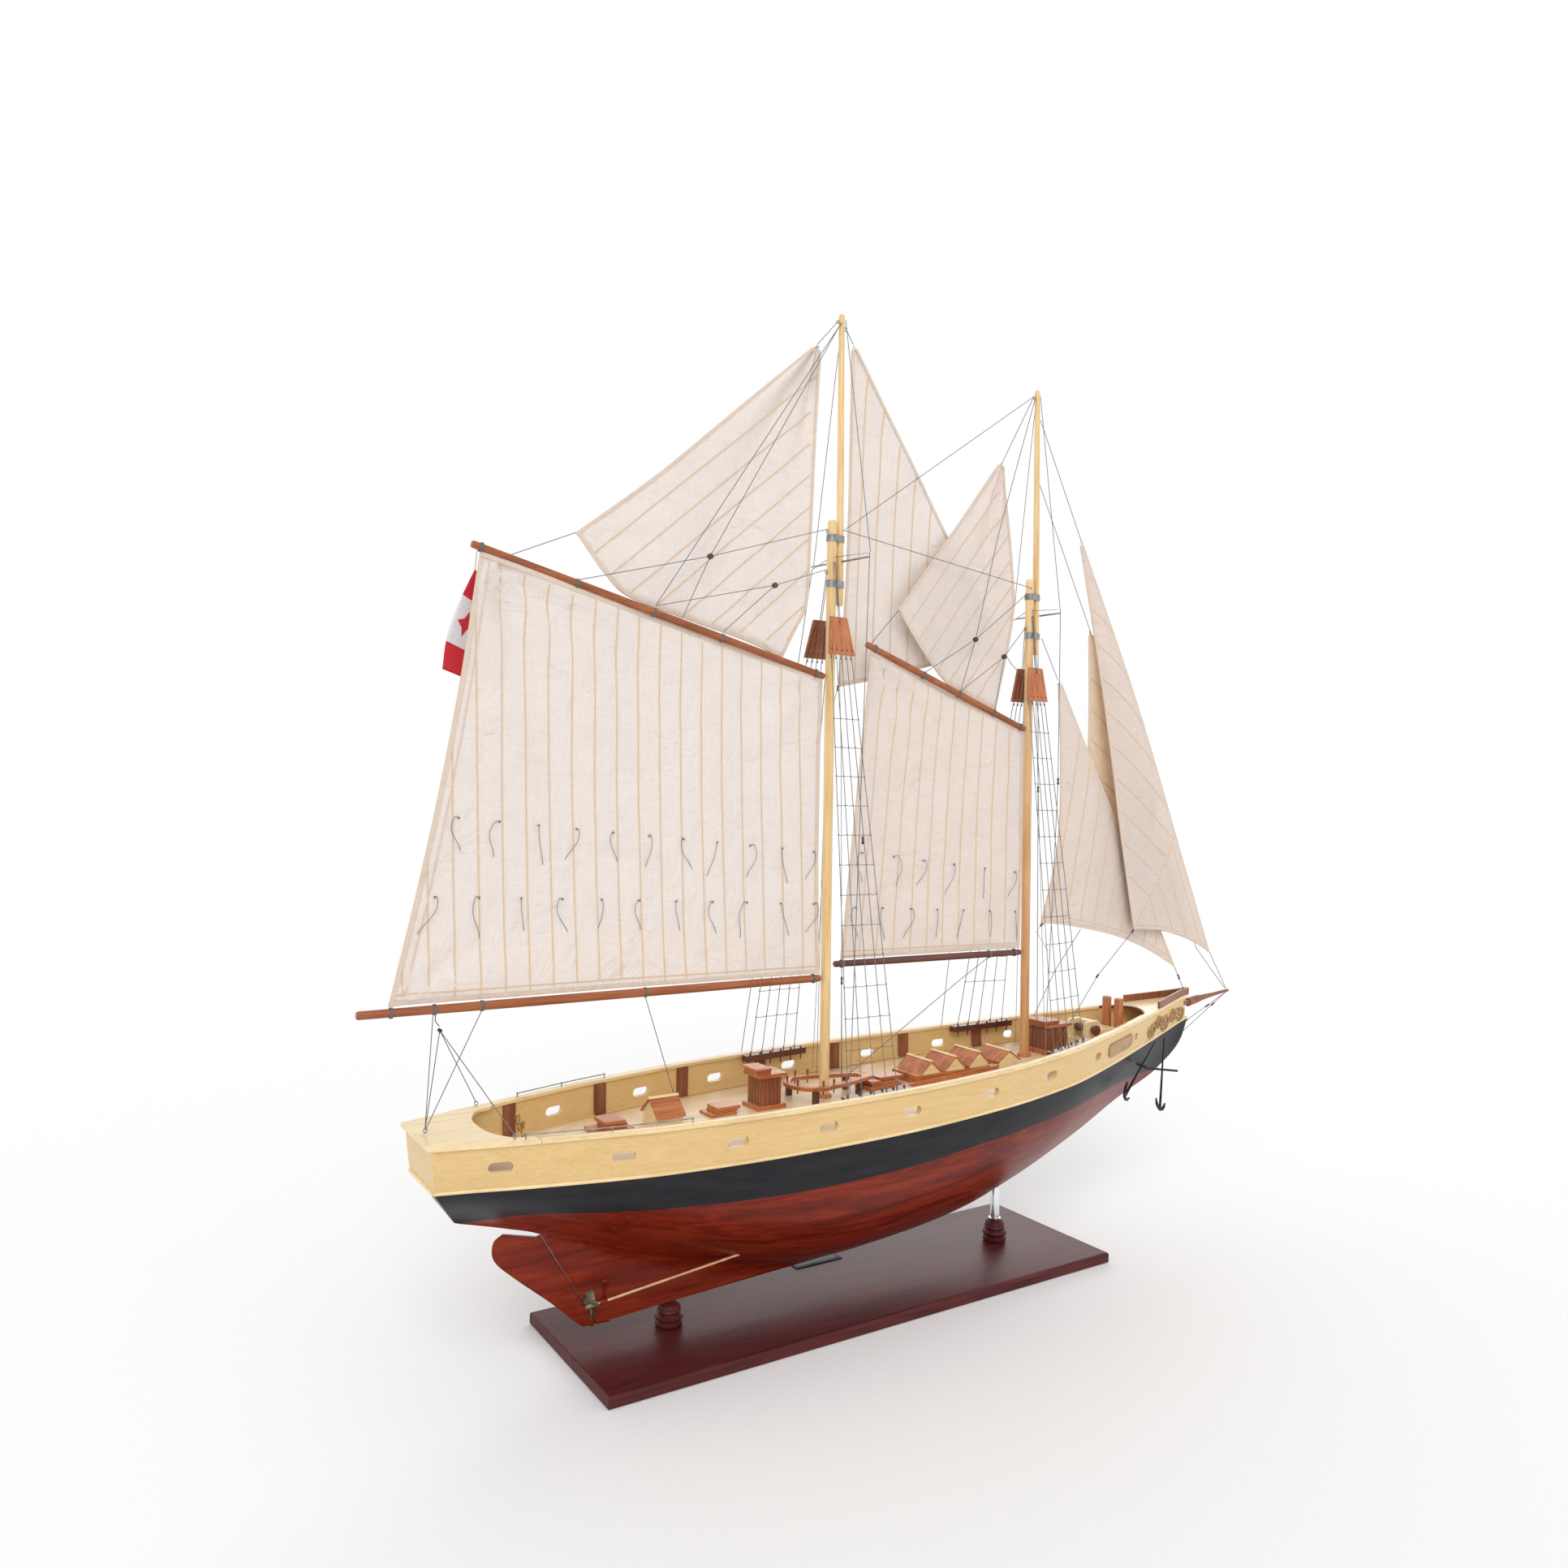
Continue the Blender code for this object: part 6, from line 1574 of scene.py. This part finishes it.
def fixed_rigging():
    """Stays, backstays and bobstays, their toggles, and the eyes on the masts."""
    rope, beads = Shape(), Shape()
    lines = [
        [(-17, -3.4, 662), (211, -4.3, 638)],
        [(-11.5, 0, 664), (213.5, 0, 828)],
        [(223.2, 0, 742), (298.4, 0.3, 606), (476.5, 0.5, 272.5), (527, 0.5, 225)],
        [(222.6, 0, 806), (281.6, 0, 697.8), (377, 0, 524.5), (464.3, 0, 340.5), (498, 0, 268),
         (528.5, 0, 224.8)],
        [(228.6, -1, 591), (252, -1, 552)],
        [(437, -1, 256), (452, -1, 232), (458, 3.2, 224.5)],
        [(452, -1, 232), (458, -3.2, 224.5)],
        [(530, 0, 221.2), (461.5, 0, 195)],
        [(529, 0, 221.0), (450, 0, 181)],
        [(-16, 1.5, 842), (-5.5, 3, 829)],
        [(188, 13, 580), (203, 13.4, 564), (210, 5, 553)],
        [(224, -0.5, 600), (226, -2.5, 440), (227.5, -6, 190)],
    ]
    for line in lines:
        rope.tube(line, THREAD, 6)
    for side in (-1, 1):
        rope.tube([(at(MAIN_MAST, 633), side * 4.6, 637), (-17 + side * 1.5, side * 45, 635),
                   (-56, side * 83, 197)], THREAD, 6)
        rope.tube([(at(FORE_MAST, 611), side * 4.6, 616), (221 + side * 8, side * 40, 613),
                   (193, side * 60, 449), (171, side * 71, 201)], THREAD, 6)
        rope.tube([(-18, side * 2.9, 845), (-16 + side * 1.5, side * 44.5, 636)], THREAD, 6)
        rope.tube([(219, side * 2.9, 828), (221 + side * 8, side * 39.5, 614)], THREAD, 6)
        rope.tube([(-23.5, side * 4.5, 640), (-20, side * 12, 470), (-17, side * 19, 186)], FINE, 5)
        rope.tube([(212.5, side * 4.5, 618), (217, side * 11, 450), (224, side * 20, 190)], FINE, 5)
    rope.make("stays", SHIP, ROPE, smooth=60)

    for place, way in (((255.6, 0, 545.5), (0.53, 0, -0.85)), ((445, -1, 243.5), (0.5, 0, -0.8)),
                       ((496, 0, 208), (0.93, 0, 0.37)), ((505.5, 0, 209), (0.9, 0, 0.44)),
                       ((226, -2.5, 442), (0.01, 0, -1)),
                       ((193, -60, 449), (-0.05, -0.05, -1)), ((193, 60, 449), (-0.05, 0.05, -1)),
                       ((-34, -64, 395), (-0.09, -0.1, -1)), ((-34, 64, 395), (-0.09, 0.1, -1))):
        toggle(beads, place, way)
    beads.make("stay_toggles", SHIP, BLOCK, smooth=60)

    eyes = Shape()
    for place in ((at(MAIN_TOPMAST, 845) - 4.2, 0, 843), (at(MAIN_TOPMAST, 840) + 4.2, 0, 838),
                  (-31, 0, 659), (-31, 0, 624), (at(FORE_TOPMAST, 828) - 4.2, 0, 826), (206.8, 0, 630),
                  (206.8, 0, 598)):
        ring = [Vector(place) + Vector((1.3 * math.cos(a), 0, 1.3 * math.sin(a))) for a in circle(12)]
        eyes.tube(ring, 0.32, 5, loop=True)
    for place in ((461.5, 0, 195), (450, 0, 181)):
        eyes.bead(place, 0.9)
    eyes.make("mast_eyes", SHIP, GUN, smooth=60)


def block(shape, place, size=2.6):
    """Add a small square block with rounded cheeks and a groove."""
    x, y, z = place
    octagon = ((0, 1), (0.62, 0.62), (1, 0), (0.62, -0.62), (0, -1), (-0.62, -0.62), (-1, 0),
               (-0.62, 0.62))
    outline = [(size * a, size * b) for a, b in octagon]
    for y0, y1, grow in ((-1.6, -0.5, 1.0), (-0.5, 0.5, 0.75), (0.5, 1.6, 1.0)):
        shape.prism_y([(x + a * grow, z + b * grow) for a, b in outline], y + y0, y + y1)


def crossing(name, points, radius=THREAD):
    """A thread from a swinging spar to the ship, given from the spar's end."""
    made = Shape().tube(points, radius, 6).make(name, None, ROPE, smooth=60)
    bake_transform(made)
    return made


def running_rigging():
    main_block, small_block = (-149, -6, 621), (-87, -6, 605)
    mast_top, mast_eye = (-22, -1.5, 842), (-31.5, -1, 626)
    crossing("main_peak_halyard", [(-260, -2.6, 589), main_block, (-31.5, -1, 661)])
    crossing("main_gaff_span_aft", [(-195, -2.6, 576.5), small_block, mast_eye])
    crossing("main_gaff_span_fore", [(-133, -2.6, 562.5), small_block, mast_eye])
    crossing("main_block_thread", [(-171, -2.8, 570), main_block, mast_top])
    crossing("main_gaff_lift", [(-195, -3.2, 577), (-22, -2.2, 842)])
    crossing("main_topsail_halyard", [(-44.5, 1.5, 819), (-24.5, 0, 843)])
    blocks = Shape()
    block(blocks, main_block)
    block(blocks, small_block)
    made = blocks.make("main_halyard_blocks", None, BLOCK, bevel=0.3)
    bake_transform(made)

    first, second = (138, -5, 581), (175, -5, 568)
    crossing("fore_peak_halyard", [(80, -2.6, 546), first, (206.8, -1, 632)])
    crossing("fore_gaff_span_aft", [(123, -2.6, 531.5), second, (206.8, -1, 600)])
    crossing("fore_gaff_span_fore", [(167, -2.6, 517), second, (206.8, -1, 600)])
    crossing("fore_block_thread", [(123, -2.8, 532), first, (166, -3, 683), (213.5, -1.5, 826)])
    crossing("fore_topsail_halyard", [(174, 1.5, 756), (212, 0, 826)])
    blocks = Shape()
    block(blocks, first)
    block(blocks, second)
    made = blocks.make("fore_halyard_blocks", None, BLOCK, bevel=0.3)
    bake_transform(made)

    ties = Shape()
    ties.tube([(-260, 5, 626), (-315, 2.5, 600)], THREAD, 6)
    ties.tube([(-334.5, 0, 601), (-338, 0, 604)], THREAD, 6)
    ties.make("main_sail_ties", MAIN, ROPE, smooth=60)
    ties = Shape().tube([(53, 4.3, 601), (20, 2.5, 566)], THREAD, 6)
    ties.make("fore_sail_ties", FORE, ROPE, smooth=60)

    sheet_block = (-355, 0, 259)
    crossing("main_sheet_aft", [(-360, 0, 270.8), (-363.5, 0.4, 190)])
    crossing("main_sheet_fore", [(-325, 0, 270.8), (-363.5, -0.4, 190)])
    crossing("main_tackle_transom", [sheet_block, (-363.5, 0, 190.4)])
    crossing("main_tackle_port", [sheet_block, (-311, 50.2, 191)])
    crossing("main_tackle_starboard", [sheet_block, (-314.5, -45, 191)])
    crossing("main_boom_guy", [(-195, 0, 270.6), (-150, 25, deck_z(-150, 25))])
    hook = Shape().tube([(-358, 0, 271), (-358.5, 0, 266), (-355.5, 0, 262)], THREAD, 6)
    block(hook, sheet_block, 1.5)
    hook.make("main_tackle_hook", MAIN, GUN, smooth=60)

    crossing("fore_tackle", [(-6, 0, 281.8), (-4, 0, 187)])
    crossing("fore_boom_guy", [(167, 0, 280.6), (129, -1, 261), (-10, -14, 190)])
    bead = Shape()
    toggle(bead, (-5.6, 0, 270), (0.02, 0, -1), 7)
    bead.make("fore_tackle_toggle", FORE, BLOCK, smooth=60)

    jib = Shape()
    jib.tube([(356, -14, 300), (300, -16, 256), (228, -24, 186)], THREAD, 6)
    jib.tube([(302, 9, 300), (268, 12, 258), (232, 20, 188)], THREAD, 6)
    jib.tube([(230, -6, 311), (221, -9, 303), (234, -12, 284)], FINE, 5)
    jib.tube([(-2, 20, 528), (-9, 21, 500), (-14, 24, 300), (-16, 27, 190)], FINE, 5)
    jib.make("jib_sheets", SHIP, ROPE, smooth=60)
    beads = Shape()
    for place, way in (((354, -14, 298.5), (-0.8, 0, -0.6)), ((300, -16, 256), (-0.75, -0.1, -0.6)),
                       ((231, -6, 309.5), (-0.7, 0, -0.6)), ((-2, 20, 527), (0, 0, -1))):
        toggle(beads, place, way, 5)
    beads.make("sheet_toggles", SHIP, BLOCK, smooth=60)


# ---- floor, light and camera ----

def studio():
    """Lay a pale floor under a white room that is dimmer overhead, and add a soft key and fill light."""
    floor_mesh = bpy.data.meshes.new("floor")
    size = 40.0
    floor_mesh.from_pydata([(-size, -size, 0), (size, -size, 0), (size, size, 0), (-size, size, 0)], [],
                           [(0, 1, 2, 3)])
    paper = Nodes("floor_paper")
    grain = paper.noise(paper.stretch((300, 300, 300)), 1.0, 3.0)
    tone = paper.ramp(grain, [(0.2, (0.88, 0.88, 0.88)), (0.8, (0.91, 0.91, 0.91))])
    floor_mesh.materials.append(paper.finish(tone, 0.9, specular=0.1))
    floor = bpy.data.objects.new("floor", floor_mesh)
    floor.location.z = -0.0004
    bpy.context.scene.collection.objects.link(floor)

    scene = bpy.context.scene
    scene.view_settings.view_transform = 'Standard'
    world = bpy.data.worlds.new("studio")
    scene.world = world
    world.use_nodes = True
    tree = world.node_tree
    sky = tree.nodes["Background"]
    place, split = tree.nodes.new('ShaderNodeTexCoord'), tree.nodes.new('ShaderNodeSeparateXYZ')
    shade = tree.nodes.new('ShaderNodeValToRGB')
    shade.color_ramp.elements[0].position = 0.6
    shade.color_ramp.elements[0].color = (1.0, 1.0, 1.0, 1)
    shade.color_ramp.elements[1].position = 0.85
    shade.color_ramp.elements[1].color = (0.7, 0.7, 0.7, 1)
    tree.links.new(place.outputs['Generated'], split.inputs['Vector'])
    tree.links.new(split.outputs['Z'], shade.inputs['Fac'])
    tree.links.new(shade.outputs['Color'], sky.inputs['Color'])
    sky.inputs["Strength"].default_value = 1.0

    for name, source, power in (("key", (-1.5, -2.4, 2.6), 0.95), ("fill", (2.0, 2.2, 1.6), 0.4)):
        light = bpy.data.lights.new(name, 'SUN')
        light.energy = power
        light.angle = math.radians(35)
        lamp = bpy.data.objects.new(name, light)
        lamp.location = source
        lamp.rotation_euler = (-Vector(source)).to_track_quat('-Z', 'Y').to_euler()
        scene.collection.objects.link(lamp)


def camera():
    """Stand off the starboard quarter at half the ship's height, rolled a little and nearly level."""
    heading, pitch, roll = (math.radians(a) for a in CAMERA_TURN)
    forward = Vector((math.sin(heading) * math.cos(pitch), math.cos(heading) * math.cos(pitch),
                      math.sin(pitch)))
    right = forward.cross(Vector((0, 0, 1))).normalized()
    up = right.cross(forward)
    right, up = (right * math.cos(roll) + up * math.sin(roll),
                 up * math.cos(roll) - right * math.sin(roll))
    lens = bpy.data.cameras.new("camera")
    lens.sensor_width, lens.lens, lens.clip_start = 36.0, 26.25, 0.02
    made = bpy.data.objects.new("camera", lens)
    turn = Matrix((right, up, -forward)).transposed().to_4x4()
    turn.translation = Vector(CAMERA_PLACE) * MM
    made.matrix_world = turn
    bpy.context.scene.collection.objects.link(made)
    bpy.context.scene.camera = made


hull()
bulwarks()
rails()
deck()
stand()
rudder()
screws()
hatches()
pitched("aft_house", ["aft_house"], (-188.5, -166), 12.6, 10, 20.5, True)
cabin("companionway", (-93, -73), 10.5, 26, (-97, -83), 5.5)
cabin("fore_cabin", (235, 262), 13, 25, (231, 250), 5.0)
skylights()
fife_rail()
pinrails()
windlass()
wheel()
bow()
bow_ornament()
anchors()
deck_iron()
masts()
spars()
gaff_sails()
topsails()
headsails()
flag()
all_shrouds()
fixed_rigging()
running_rigging()
studio()
camera()
